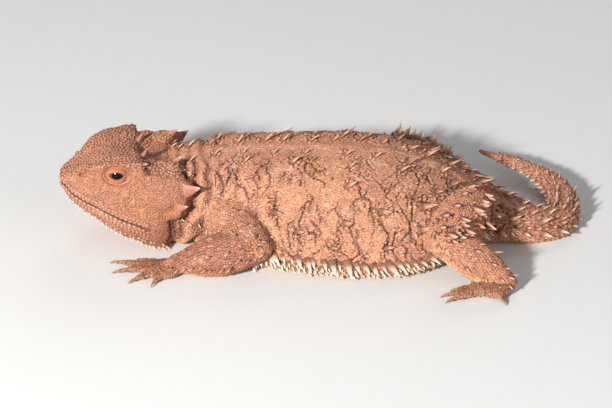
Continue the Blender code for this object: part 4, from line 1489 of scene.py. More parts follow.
    def store_zones(self, points: np.ndarray, site: np.ndarray, parts: np.ndarray) -> None:
        """Store the weights of the colours, and a mask for each coat.

        Args:
            points: The vertices.
            site: Their sites.
            parts: Their region and limb.
        """
        zone, under = zones_of(points, site, parts)
        set_attribute(self.obj, "zone", zone)
        set_attribute(self.obj, "under", under)
        place, turn = site[:, 0], turn_of(site)
        trunk, foot = parts[:, 0] < 0.5, parts[:, 0] == Region.FOOT.value
        head, tail = trunk & (place < HEAD_END), trunk & (place > BODY_END)
        flesh = trunk & ~head & ~tail
        belly = flesh & (np.minimum(turn, 1 - turn) < 0.225) & (place > 13.8)
        shoulder = (parts[:, 0] == Region.UPPER_LIMB.value) & (place < 0.42)
        near_eye = near_eyes(points, self.eye_patch)
        crown = head & (np.abs(turn - 0.5) < 0.135) & (place < 10.2)
        masks = {"crown": crown & ~near_eye, "cheek": head & ~crown & ~near_eye,
                 "body": (flesh & ~belly) | shoulder, "belly": belly, "tail": tail,
                 "eye": near_eye, "limb": ~trunk & ~foot & ~shoulder, "foot": foot}
        for name, mask in masks.items():
            grown = mask & (points[:, 2] > self.ground_gap)
            set_attribute(self.obj, "mask_" + name, grown.astype(float))


class ScaleShape(Enum):
    """Forms of a scale: a rounded grain, a keeled scale, a pointed one and a flat plate.

    Each has the sizes of its lower and its upper ring, how far back and how high the upper ring
    lies, and its apex as (towards the tail, across, up).
    """

    GRAIN = (1.04, 0.74, 0.0, 0.55, (0.05, 0.0, 1.0))
    KEELED = (1.04, 0.72, 0.16, 0.5, (0.55, 0.0, 1.15))
    POINTED = (1.0, 0.66, 0.3, 0.6, (1.35, 0.0, 1.25))
    PLATE = (1.03, 0.84, 0.03, 0.8, (0.1, 0.0, 1.0))

    def template(self) -> tuple[np.ndarray, np.ndarray]:
        """The form: two rings of an ellipse and an apex, with the lower ring sunk in the skin.

        Returns:
            Vertices as (towards the tail, across, up), and triangles.
        """
        base_size, top_size, top_shift, top_rise, apex = self.value
        sides = 8 if self is ScaleShape.PLATE else 6
        angles = circle(sides, 0.5)
        ring = np.stack([np.cos(angles), np.sin(angles)], axis=1)
        if self is ScaleShape.PLATE:
            ring = np.sign(ring) * np.abs(ring) ** 0.8
        base = np.column_stack([ring * base_size, np.full(sides, -0.9)])
        top = np.column_stack([ring * top_size + (top_shift, 0), np.full(sides, top_rise)])
        side, cap = np.arange(sides), np.arange(1, sides - 1)
        after = (side + 1) % sides
        faces = [(side, after, side + sides), (after, after + sides, side + sides),
                 (side + sides, after + sides, np.full(sides, 2 * sides)), (0 * cap, cap + 1, cap)]
        return (np.concatenate([base, top, [apex]]),
                np.concatenate([np.stack(corners, axis=1) for corners in faces]))


@dataclass
class Roots:
    """Where scales or spines stand: arrays with one row for each.

    Attributes:
        points: Places on the skin.
        normals: Outward directions.
        ways: The directions along which they lie.
        sites: Their sites on the trunk or limb.
        parts: Region and limb.
        crease: How deep in a crease each lies.
    """

    points: np.ndarray
    normals: np.ndarray
    ways: np.ndarray
    sites: np.ndarray
    parts: np.ndarray
    crease: np.ndarray

    @classmethod
    def level(cls, points: np.ndarray, normals: np.ndarray, ways: np.ndarray, sites: np.ndarray,
              part: tuple[int, int] = (0, 0)) -> "Roots":
        """Roots that lie in no crease, all of one region and limb.

        Args:
            points: Their places.
            normals: Their outward directions.
            ways: The directions along which they lie.
            sites: Their sites.
            part: Their region and limb.

        Returns:
            The roots.
        """
        parts = np.tile((*part, 0), (len(points), 1)).astype(float)
        return cls(points, normals, ways, sites, parts, np.zeros(len(points)))

    def pick(self, chosen: np.ndarray) -> "Roots":
        """The chosen rows only."""
        return Roots(*(rows[chosen] for rows in vars(self).values()))

    @classmethod
    def joined(cls, many: list["Roots"]) -> "Roots":
        """All rows of several groups of roots."""
        return cls(*(np.concatenate(rows) for rows in zip(*(vars(one).values() for one in many))))

    def beside(self, others: np.ndarray, reach: float) -> np.ndarray:
        """Whether each root has another point within about a reach, told by overlapping cells.

        Args:
            others: The other points.
            reach: The reach in millimetres.

        Returns:
            One truth value for each root.
        """
        low = np.minimum(self.points.min(0), others.min(0)) - 2 * reach
        taken = np.zeros(len(self.points), bool)
        for shift in np.ndindex(2, 2, 2):
            keys = [np.floor((points - low) / (1.6 * reach) + 0.5 * np.array(shift)).astype(int)
                    @ np.array((1, 1000, 1000000)) for points in (self.points, others)]
            taken |= np.isin(keys[0], keys[1])
        return taken

    @classmethod
    def on_trunk(cls, places: np.ndarray, turns: np.ndarray) -> "Roots":
        """Roots at places and turns of the trunk."""
        return cls.level(*TRUNK.site(places, turns), site_of(places, 2 * np.pi * turns))

    @classmethod
    def scattered(cls, skin: bpy.types.Object, mask: str, spacing: float, seed: int) -> "Roots":
        """Roots spread over a zone of the skin, each lying along its part of the body.

        Args:
            skin: The skin.
            mask: The zone.
            spacing: The least distance between two.
            seed: Picks another spread.

        Returns:
            The roots.
        """
        mesh = Geometry.scatter(skin, "mask_" + mask, spacing, seed)
        site, part = get_attribute(mesh, "site", 3), get_attribute(mesh, "part", 3)
        points, normals = get_points(mesh), unit(get_attribute(mesh, "upward", 3))
        crease = get_attribute(mesh, "crease")
        bpy.data.meshes.remove(mesh)
        forward = TRUNK.frames(np.clip(site[:, 0], 0, LAST))[1]
        ways = np.column_stack([forward, np.zeros(len(points))])
        for number, leg in enumerate(LEGS, 1):
            palm_way = unit((points - leg.point(leg.palm)) * (1, 1, 0.1))
            for region, way in ((Region.UPPER_LIMB, leg.way(leg.upper)),
                                (Region.LOWER_LIMB, leg.way(leg.lower)), (Region.FOOT, palm_way)):
                here = (np.round(part[:, 1]) == number) & region.has(part)
                ways = np.where(here[:, None], way, ways)
        return cls(points, normals, ways, site, part, crease)

    def settle(self, skin: bpy.types.Object, turn: float = 0.4) -> "Roots":
        """Move the roots onto the skin and turn their normals towards its own.

        Args:
            skin: The skin.
            turn: The share of the way that they turn.

        Returns:
            The same roots.
        """
        found = Geometry.nearest(skin, self.points)
        self.points, self.crease = found["spot"], found["sunk"]
        self.normals = unit(self.normals * (1 - turn) + unit(found["normal"]) * turn)
        return self

    @classmethod
    def in_rows(cls, skin: bpy.types.Object, plan: "RowPlan", mask: str) -> "Roots":
        """Roots in staggered rows round a limb or the tail, where the skin follows it closely.

        Args:
            skin: The skin.
            plan: The rows.
            mask: The mask of the zone in which they may stand.

        Returns:
            The roots.
        """
        roots = plan.roots()
        found = Geometry.nearest(skin, roots.points, mask)
        near = np.linalg.norm(found["spot"] - roots.points, axis=1) < plan.reach
        same = (np.abs(found["part"] - roots.parts)[:, :2] < 0.4).all(1) & (found["mask"] > 0.5)
        facing = (unit(found["normal"]) * roots.normals).sum(1) > 0.35
        chosen = near & same & facing & (found["spot"][:, 2] > 0.2) & (found["sunk"] < 0.85)
        roots = roots.pick(chosen)
        roots.points, roots.crease = found["spot"][chosen], found["sunk"][chosen]
        roots.normals = unit(found["normal"][chosen])
        return roots

    def frames(self) -> tuple[np.ndarray, np.ndarray]:
        """Unit vectors in the skin: along the way of each root, and across it."""
        lie = unit(self.ways - (self.ways * self.normals).sum(1, keepdims=True) * self.normals)
        return lie, np.cross(self.normals, lie)

    def crease_at(self, points: np.ndarray) -> np.ndarray:
        """How deep in a crease each vertex of the forms lies, so that the painted shade of the
        cracks can cross them.

        On the body a vertex lies as far along and round from its root as it does in space.
        Elsewhere it takes its root's value.

        Args:
            points: Vertices as (root, vertex, 3).

        Returns:
            Values from 0 to 1 as (root, vertex).
        """
        crease = np.repeat(self.crease[:, None], points.shape[1], 1)
        here = (self.parts[:, 0] < 0.5) & (np.abs(self.sites[:, 0] - 17.0) < 6.0)
        if here.any():
            lie, across = self.frames()
            offset = points[here] - self.points[here][:, None]
            run, around = spread_of(self.sites[here])
            run = run[:, None] + (offset * lie[here][:, None]).sum(2)
            around = around[:, None] + (offset * across[here][:, None]).sum(2)
            line = CRACKS.strength(run.ravel(), around.ravel())[0]
            crease[here] = np.maximum(crease[here], line.reshape(run.shape))
        return crease

    def unwrap(self) -> np.ndarray:
        """Where each root lies on the unwrap of the skin.

        The trunk lies unrolled in the lower part, its turn across and its place upwards. Each
        length and foot of a leg has its own field of the upper part, unrolled the same way.

        Returns:
            One (u, v) for each root.
        """
        turn = turn_of(self.sites)
        run = np.interp(self.sites[:, 0], np.arange(LAST + 1), TRUNK.runs / TRUNK.runs[-1])
        trunk = np.column_stack([0.01 + 0.98 * turn, 0.01 + 0.64 * run])
        limb, region = np.round(self.parts[:, 1]), np.round(self.parts[:, 0])
        legs = np.column_stack([0.01 + 0.25 * (limb - 1) + 0.23 * turn,
                                0.67 + 0.11 * (region - 1) + 0.1 * np.clip(self.sites[:, 0], 0, 1)])
        return np.where(region[:, None] < 0.5, trunk, legs)


@dataclass(frozen=True)
class RowPlan:
    """Staggered rows of places round a tube.

    Attributes:
        rings: Points of the tube as (ring, side, 3).
        part: Region and limb of the tube.
        step: Distance between two rows.
        reach: How far the skin may lie from the tube.
        first: The place of the first ring in the sites.
        last: The place of the last ring in the sites.
    """

    rings: np.ndarray
    part: tuple[int, int]
    step: float
    reach: float = 0.7
    first: float = 0.0
    last: float = 1.0

    def roots(self) -> Roots:
        """The roots of all rows.

        The rings are read at even steps of the length of their middle line. Each row holds as
        many places as its girth has room for, and every other row is turned by half a place.

        Returns:
            The roots, still on the tube.
        """
        middle, sides = self.rings.mean(1), self.rings.shape[1]
        run = runs_of(middle)
        chance = np.random.default_rng(len(run))
        found = []
        for number, station in enumerate(np.arange(self.step * 0.5, run[-1], self.step)):
            at = np.interp(station, run, np.arange(len(run)))
            ring = along(self.rings, np.array([at]))[0]
            count = max(3, int(round(girth_of(ring) / (self.step * 1.1))))
            turns = np.arange(count) + 0.5 * (number % 2) + chance.normal(0, 0.1, count)
            turns = turns / count * sides % sides
            spot = along(np.concatenate([ring, ring[:1]]), turns)
            way = unit(along(middle, np.array([min(at + 0.5, len(run) - 1.0)]))[0]
                       - along(middle, np.array([max(at - 0.5, 0.0)]))[0])
            out = spot - ring.mean(0)
            out = unit(out - (out @ way)[:, None] * way)
            share = self.first + (self.last - self.first) * station / run[-1]
            site = site_of(np.full(count, share), 2 * np.pi * (turns / sides))
            found.append((spot, out, np.tile(way, (count, 1)), site))
        return Roots.level(*(np.concatenate(rows) for rows in zip(*found)), self.part)


class Coat:
    """Gathers many small closed forms for one piece and puts them into its mesh at the end."""

    def __init__(self, name: str, slot: str) -> None:
        """Start an empty piece with a name and the name of a slot, which it hands on."""
        self.name, self.slot, self.count = name, slot, 0
        self.rows: dict[str, list[np.ndarray]] = {}

    def add(self, roots: Roots, points: np.ndarray, faces: np.ndarray, spread: np.ndarray,
            tips: np.ndarray, lifts: np.ndarray, grain: np.ndarray) -> None:
        """Add one form for each root.

        Args:
            roots: Where the forms stand.
            points: Their vertices as (root, vertex, 3).
            faces: The triangles of one form.
            spread: Where each vertex of a form lies on its small patch, from -1 to 1.
            tips: How pale each vertex of a form is, from 0 to 1.
            lifts: How high over the foot of its form each vertex stands, from 0 to 1; the low ones
                get painted shade.
            grain: How light each form is, from -1 to 1.
        """
        number, size = points.shape[:2]
        first = self.count + size * np.arange(number)
        chart = roots.unwrap()[:, None] + 0.0015 * np.clip(spread, -1, 1)[None]
        tone = np.stack([np.broadcast_to(tips, (number, size)), np.repeat(grain[:, None], size, 1),
                         roots.crease_at(points)], axis=-1)
        zone, under = zones_of(roots.points, roots.sites, roots.parts)
        rows = {"points": points.reshape(-1, 3), "chart": chart.reshape(-1, 2),
                "faces": (faces[None] + first[:, None, None]).reshape(-1, 3),
                "tone": tone.reshape(-1, 3), "lift": np.tile(lifts, number),
                "zone": np.repeat(zone, size, 0), "under": np.repeat(under, size)}
        for key, values in rows.items():
            self.rows.setdefault(key, []).append(values)
        self.count += number * size

    def add_scales(self, roots: Roots, shape: ScaleShape, lengths: np.ndarray,
                   widths: np.ndarray, heights: np.ndarray, seed: int,
                   pale: float = 0.1, rim: float = 0.0) -> None:
        """Add a scale at each root: its template stretched, turned a little and set in place.

        Args:
            roots: Where the scales stand.
            shape: Their form.
            lengths: Lengths in millimetres.
            widths: Widths in millimetres.
            heights: Heights in millimetres.
            seed: Picks the small differences.
            pale: How pale the tops are.
            rim: How far the painted shade at the feet is lifted, from 0 to 1.
        """
        chance = np.random.default_rng(seed)
        template, faces = shape.template()
        lie, across = roots.frames()
        swing = chance.normal(0, 0.12, len(lie))[:, None]
        lie, across = unit(lie + swing * across), unit(across - swing * lie)
        u, v, w = template.T
        points = roots.points[:, None] + lie[:, None] * (u * lengths[:, None] / 2)[..., None]
        points = points + across[:, None] * (v * widths[:, None] / 2)[..., None]
        points = points + roots.normals[:, None] * (w * heights[:, None])[..., None]
        points[..., 2] = np.maximum(points[..., 2], 0.02)
        # The feet of the scales get painted shade, lifted to at least the rim.
        lifts = np.maximum(np.clip((w + 0.9) / 1.9, 0, 1), rim)
        self.add(roots, points, faces, template[:, :2], np.where(w > 0.9, pale, 0.0), lifts,
                 chance.uniform(-1, 1, len(lie)))

    def add_spines(self, roots: Roots, ways: np.ndarray, broad: np.ndarray, lengths: np.ndarray,
                   widths: np.ndarray, flatness: float, arch: float, seed: int,
                   pale: float = 1.0) -> None:
        """Add a keeled, tapering spine at each root.

        A ring of eight points shrinks along a path that leaves the root the given way and bends
        back towards the skin's outward direction by the arch. The ring's upper point is a keel.

        Args:
            roots: Where the spines stand.
            ways: The directions in which they point.
            broad: The directions along which they are widest.
            lengths: Lengths in millimetres.
            widths: Root widths in millimetres.
            flatness: Thickness over width.
            arch: How far the tip bends outwards, as a share of the length.
            seed: Picks the small differences.
            pale: How pale the tips are.
        """
        chance = np.random.default_rng(seed)
        share = np.array((-0.16, 0.04, 0.2, 0.45, 0.75, 1.0))
        girth = np.array((1.25, 1.05, 0.82, 0.55, 0.27, 0.025))
        keel = np.array((1.0, 0.86, 1.3, 0.86, 1.0, 0.86, 0.8, 0.86))
        rings, sides = len(share), len(keel)
        angles, ways = circle(sides), unit(ways)
        across = unit(broad - (broad * ways).sum(1, keepdims=True) * ways)
        upright = np.cross(across, ways)
        upright *= np.sign((upright * roots.normals).sum(1, keepdims=True) + 1e-9)
        path = roots.points[:, None] + ways[:, None] * (share * lengths[:, None])[..., None]
        lift = arch * lengths[:, None] * share ** 2 * (1 + 0.3 * chance.normal(size=(len(ways), 1)))
        path = path + lift[..., None] * roots.normals[:, None]
        ring = (np.cos(angles) * keel)[:, None] * across[:, None, None]
        ring = ring + (flatness * np.sin(angles) * keel)[:, None] * upright[:, None, None]
        points = path[:, :, None] + (girth * widths[:, None] / 2)[:, :, None, None] * ring
        points[..., 2] = np.maximum(points[..., 2], 0.03)
        points = points.reshape(len(ways), -1, 3)
        quads, fan = grid_faces(rings, sides), np.arange(1, sides - 1)
        faces = np.concatenate([quads[:, (0, 1, 2)], quads[:, (0, 2, 3)],
                                np.stack([0 * fan, fan + 1, fan], axis=1),
                                (rings - 1) * sides + np.stack([0 * fan, fan, fan + 1], axis=1)])
        spread = np.stack([np.repeat(share, sides) * 0.9, np.tile(np.cos(angles), rings) * 0.6],
                          axis=1)
        tips = pale * np.repeat(smooth_step(0.2, 0.8, share), sides)
        # The foot of each spine gets painted shade that fades towards the tip.
        lifts = np.repeat(np.clip(0.34 + 1.0 * share, 0, 1), sides)
        grain = chance.uniform(-1, 1, len(ways))
        flipped = (np.cross(upright, ways) * across).sum(1) > 0
        for chosen, order in ((flipped, faces), (~flipped, faces[:, ::-1])):
            if chosen.any():
                self.add(roots.pick(chosen), points[chosen], order, spread, tips, lifts,
                         grain[chosen])

    def finish(self, material: bpy.types.Material) -> None:
        """Put everything gathered into the piece's mesh, with its unwrap, and dress it.

        Args:
            material: What the piece is made of.
        """
        rows = {key: np.concatenate(values) for key, values in self.rows.items()}
        obj = new_object(self.name, rows.pop("points"), rows.pop("faces"))
        loops = np.empty(len(obj.data.loops), np.int32)
        obj.data.loops.foreach_get("vertex_index", loops)
        layer = obj.data.uv_layers.new(name="OFBake")
        layer.data.foreach_set("uv", rows.pop("chart")[loops].astype(np.float32).ravel())
        dress(obj, material, self.slot, **rows)


@dataclass(frozen=True)
class Layer:
    """One layer of small scales over a zone of the skin.

    Attributes:
        zone: The mask of the zone.
        slot: The name of a slot that its pieces are handed.
        spacing: Least distance between two scales in millimetres.
        shape: The form of a scale.
        length: Length over spacing.
        width: Width over spacing.
        height: Height in millimetres.
        pieces: Into how many pieces the layer is parted along the animal on each side.
        rows: Whether the scales stand in rows instead of being strewn.
        rim: How far the painted shade at the feet of the scales is lifted, from 0 to 1.
        pale: How pale their tops are.
    """

    zone: str
    slot: str
    spacing: float
    shape: ScaleShape
    length: float
    width: float
    height: float
    pieces: int
    rows: bool = False
    rim: float = 0.0
    pale: float = 0.1


LAYERS = (
    Layer("crown", "head_skin", 0.56, ScaleShape.GRAIN, 1.5, 1.4, 0.16, 1, False, 0.45, 0.3),
    Layer("cheek", "head_skin", 0.42, ScaleShape.GRAIN, 1.8, 1.7, 0.07, 1, False, 0.62),
    Layer("body", "body_skin", 0.41, ScaleShape.KEELED, 2.1, 1.8, 0.075, 3, False, 0.6),
    Layer("belly", "body_skin", 0.8, ScaleShape.PLATE, 1.3, 1.2, 0.08, 1),
    Layer("limb", "limb_skin", 0.56, ScaleShape.KEELED, 1.75, 1.3, 0.15, 1, True),
    Layer("foot", "limb_skin", 0.45, ScaleShape.KEELED, 1.4, 1.35, 0.12, 1, True),
    Layer("tail", "tail_skin", 0.64, ScaleShape.KEELED, 1.7, 1.3, 0.17, 1, True),
)


@dataclass(frozen=True)
class SpineRow:
    """A row of spines on both sides of the trunk.

    Attributes:
        zone: The coat that it belongs to.
        turn: How high up the side it runs.
        first: Its first place.
        last: Its last place.
        spacing: Distance between two spines in millimetres.
        lengths: Length of the first and the last spine.
        width: Width over length.
        lean: Shares of the outward normal, the way to the tail and straight up.
        flatness: Thickness over width.
        flat_along: Whether a spine is widest along the body instead of across it.
        rosette: How many small scales stand round each root.
        wander: How far roots stray from the row, in millimetres.
        pale: How pale the tips are.
        arch: How far the tips bend outwards, as a share of the length.
        only: The only side that has the row.
    """

    zone: str
    turn: float
    first: float
    last: float
    spacing: float
    lengths: tuple[float, float]
    width: float
    lean: tuple[float, float, float]
    flatness: float = 0.62
    flat_along: bool = False
    rosette: int = 7
    wander: float = 0.8
    pale: float = 0.3
    arch: float = 0.12
    only: Side | None = None


RISING = (0.66, 0.74, 0.06)
LYING = (0.36, 0.93, 0.0)
SPINE_ROWS = (
    *(SpineRow("body", turn, first, 21.8, spacing, lengths, 0.7, RISING, 0.5, pale=0.15, only=side)
      for turn, first, spacing, lengths, side in (
          (0.468, 14.2, 6.5, (1.8, 2.3), Side.LEFT), (0.432, 15.4, 10.5, (2.0, 2.5), Side.LEFT),
          (0.470, 14.3, 4.8, (1.9, 2.4), Side.RIGHT), (0.436, 14.6, 6.0, (2.0, 2.5), Side.RIGHT))),
    SpineRow("body", 0.376, 14.6, 21.4, 13.5, (1.8, 2.4), 0.7, (0.45, 0.86, 0.05), 0.42,
             wander=2.4, pale=0.1),
    SpineRow("body", 0.330, 16.2, 21.7, 12.0, (1.8, 2.4), 0.75, LYING, 0.4, wander=2.6, pale=0.1),
    SpineRow("body", 0.292, 16.6, 21.2, 10.5, (1.6, 2.1), 0.75, LYING, 0.4, wander=2.0, pale=0.2),
    *(SpineRow("body", turn, first, last, spacing, (0.7, 1.1), 0.85, LYING, 0.4, wander=wander,
               rosette=0, pale=0.1)
      for turn, first, last, spacing, wander in (
          (0.450, 14.0, 21.9, 4.0, 1.6), (0.402, 13.9, 21.9, 4.6, 1.6),
          (0.352, 14.0, 21.9, 5.0, 1.6), (0.310, 14.8, 21.8, 4.8, 1.5))),
    SpineRow("body", 0.274, 15.0, 21.6, 3.4, (0.8, 1.1), 0.8, LYING, 0.5, wander=0.9, rosette=0,
             pale=0.6),
    *(SpineRow("body", turn, first, 22.2, spacing, lengths, 0.8, LYING, 0.5, wander=wander,
               rosette=rosette)
      for turn, first, spacing, lengths, wander, rosette in (
          (0.400, 20.2, 2.4, (2.3, 2.6), 0.9, 4), (0.376, 20.8, 2.2, (1.8, 2.2), 0.7, 0),
          (0.355, 19.6, 2.2, (2.4, 2.8), 0.9, 4), (0.334, 20.4, 2.0, (1.8, 2.2), 0.7, 0),
          (0.315, 19.7, 2.2, (2.2, 2.6), 0.8, 4))),
    SpineRow("body", 0.280, 20.6, 22.2, 2.4, (2.0, 2.4), 0.72, LYING, 0.5, wander=0.6, rosette=4,
             pale=0.6),
    SpineRow("fringe", 0.256, 15.2, 21.0, 1.6, (2.0, 2.7), 0.62, (0.6, 0.26, -0.72), 0.4, True,
             0, 0.4, 1.0, -0.05),
    *(SpineRow("fringe", turn, first, last, spacing, lengths, width, lean, 0.42, True, 0, 0.15,
               pale, 0.0)
      for turn, first, last, spacing, lengths, width, lean, pale in (
          (0.238, 15.0, 21.2, 1.25, (1.15, 1.35), 0.86, (0.55, 0.3, -0.6), 0.9),
          (0.225, 14.7, 21.3, 1.1, (0.95, 1.1), 0.95, (0.5, 0.36, -0.5), 0.8),
          (0.213, 14.6, 21.3, 1.05, (0.85, 1.0), 1.0, (0.45, 0.45, -0.4), 0.8),
          (0.201, 14.6, 21.3, 1.0, (0.8, 0.9), 1.05, (0.4, 0.5, -0.3), 0.6))),
    SpineRow("body", 0.440, 11.5, 13.5, 2.2, (1.5, 1.9), 0.62, RISING, pale=0.5),
    SpineRow("body", 0.360, 11.5, 13.5, 3.0, (1.3, 1.6), 0.66, (0.6, 0.75, 0.1)),
    SpineRow("body", 0.225, 11.4, 14.4, 1.9, (1.1, 1.3), 0.7, (0.6, 0.7, -0.1), pale=0.8),
    SpineRow("tail", 0.250, 22.1, 31.5, 2.1, (3.0, 1.2), 0.56, (0.85, 0.45, -0.25), 0.75, True,
             5, 0.2, 1.0, -0.2),
    SpineRow("tail", 0.345, 22.1, 31.2, 2.5, (2.7, 0.9), 0.64, (0.5, 0.82, 0.1), rosette=5,
             wander=0.5),
    SpineRow("tail", 0.440, 22.1, 30.4, 2.8, (2.5, 0.9), 0.62, (0.55, 0.82, 0.1), rosette=5,
             wander=0.5, pale=0.45),
    SpineRow("tail", 0.303, 22.1, 31.0, 1.7, (1.4, 0.6), 0.8, (0.4, 0.9, 0.0), rosette=0,
             wander=0.4, pale=0.5),
    SpineRow("tail", 0.392, 22.1, 31.0, 1.7, (1.3, 0.6), 0.8, (0.4, 0.9, 0.0), rosette=0,
             wander=0.4),
    SpineRow("head", 0.126, 1.6, 10.9, 0.92, (0.55, 1.5), 0.9, (0.7, 0.5, -0.2), 0.45, True,
             0, 0.12, 0.95, 0.0),
    SpineRow("head", 0.146, 2.0, 10.6, 0.95, (0.5, 0.8), 1.0, (0.55, 0.7, -0.1), 0.5, True, 0,
             0.12, 0.8, 0.0),
    SpineRow("head", 0.100, 6.5, 11.1, 1.2, (0.7, 1.0), 0.9, (0.6, 0.5, -0.3), 0.5, True, 0,
             0.15, 0.8, 0.0),
)


@dataclass(frozen=True)
class LegSpines:
    """Spines in a line along a length of leg.

    Attributes:
        facing: The side of the leg that they stand on, as (x, out, up).
        count: How many.
        length: Length in millimetres.
        width: Width over length.
    """

    facing: Spot
    count: int
    length: float
    width: float = 0.66


LEG_SPINES = {
    "upper_arm": (LegSpines((0.1, 0.3, 1.0), 5, 1.5),
                  LegSpines((-0.6, 0.6, 0.6), 4, 1.2)),
    "forearm": (LegSpines((0.1, 1.0, -0.15), 12, 1.3),
                LegSpines((0.5, 0.2, 1.0), 5, 1.2),
                LegSpines((0.2, 0.8, 0.5), 6, 0.9)),
    "thigh": (LegSpines((0.5, 0.5, 0.9), 5, 3.0, 0.75),
              LegSpines((-0.7, 0.5, 0.6), 5, 2.2, 0.75),
              LegSpines((-0.1, 0.5, 0.9), 5, 2.9, 0.75),
              LegSpines((0.9, 0.3, 0.3), 6, 2.6, 0.72),
              LegSpines((0.0, 0.9, 0.3), 5, 2.4, 0.75),
              LegSpines((0.25, 0.7, 0.6), 5, 2.1, 0.72),
              LegSpines((0.7, 0.6, 0.5), 5, 2.1, 0.72)),
    "shank": (LegSpines((0.7, 0.2, 0.7), 6, 1.6),
              LegSpines((-0.3, 1.0, 0.1), 8, 1.3),
              LegSpines((0.2, 0.7, 0.8), 5, 1.2)),
}


# Rows of lip plates: rise over the line of the mouth, step, length, width and height
LIP_ROWS = ((0.56, 0.95, 0.98, 0.7, 0.14), (-0.56, 1.0, 1.04, 0.74, 0.16),
            (1.2, 0.75, 0.78, 0.6, 0.12), (-1.22, 0.8, 0.82, 0.66, 0.15),
            (-1.9, 0.8, 0.8, 0.66, 0.16))


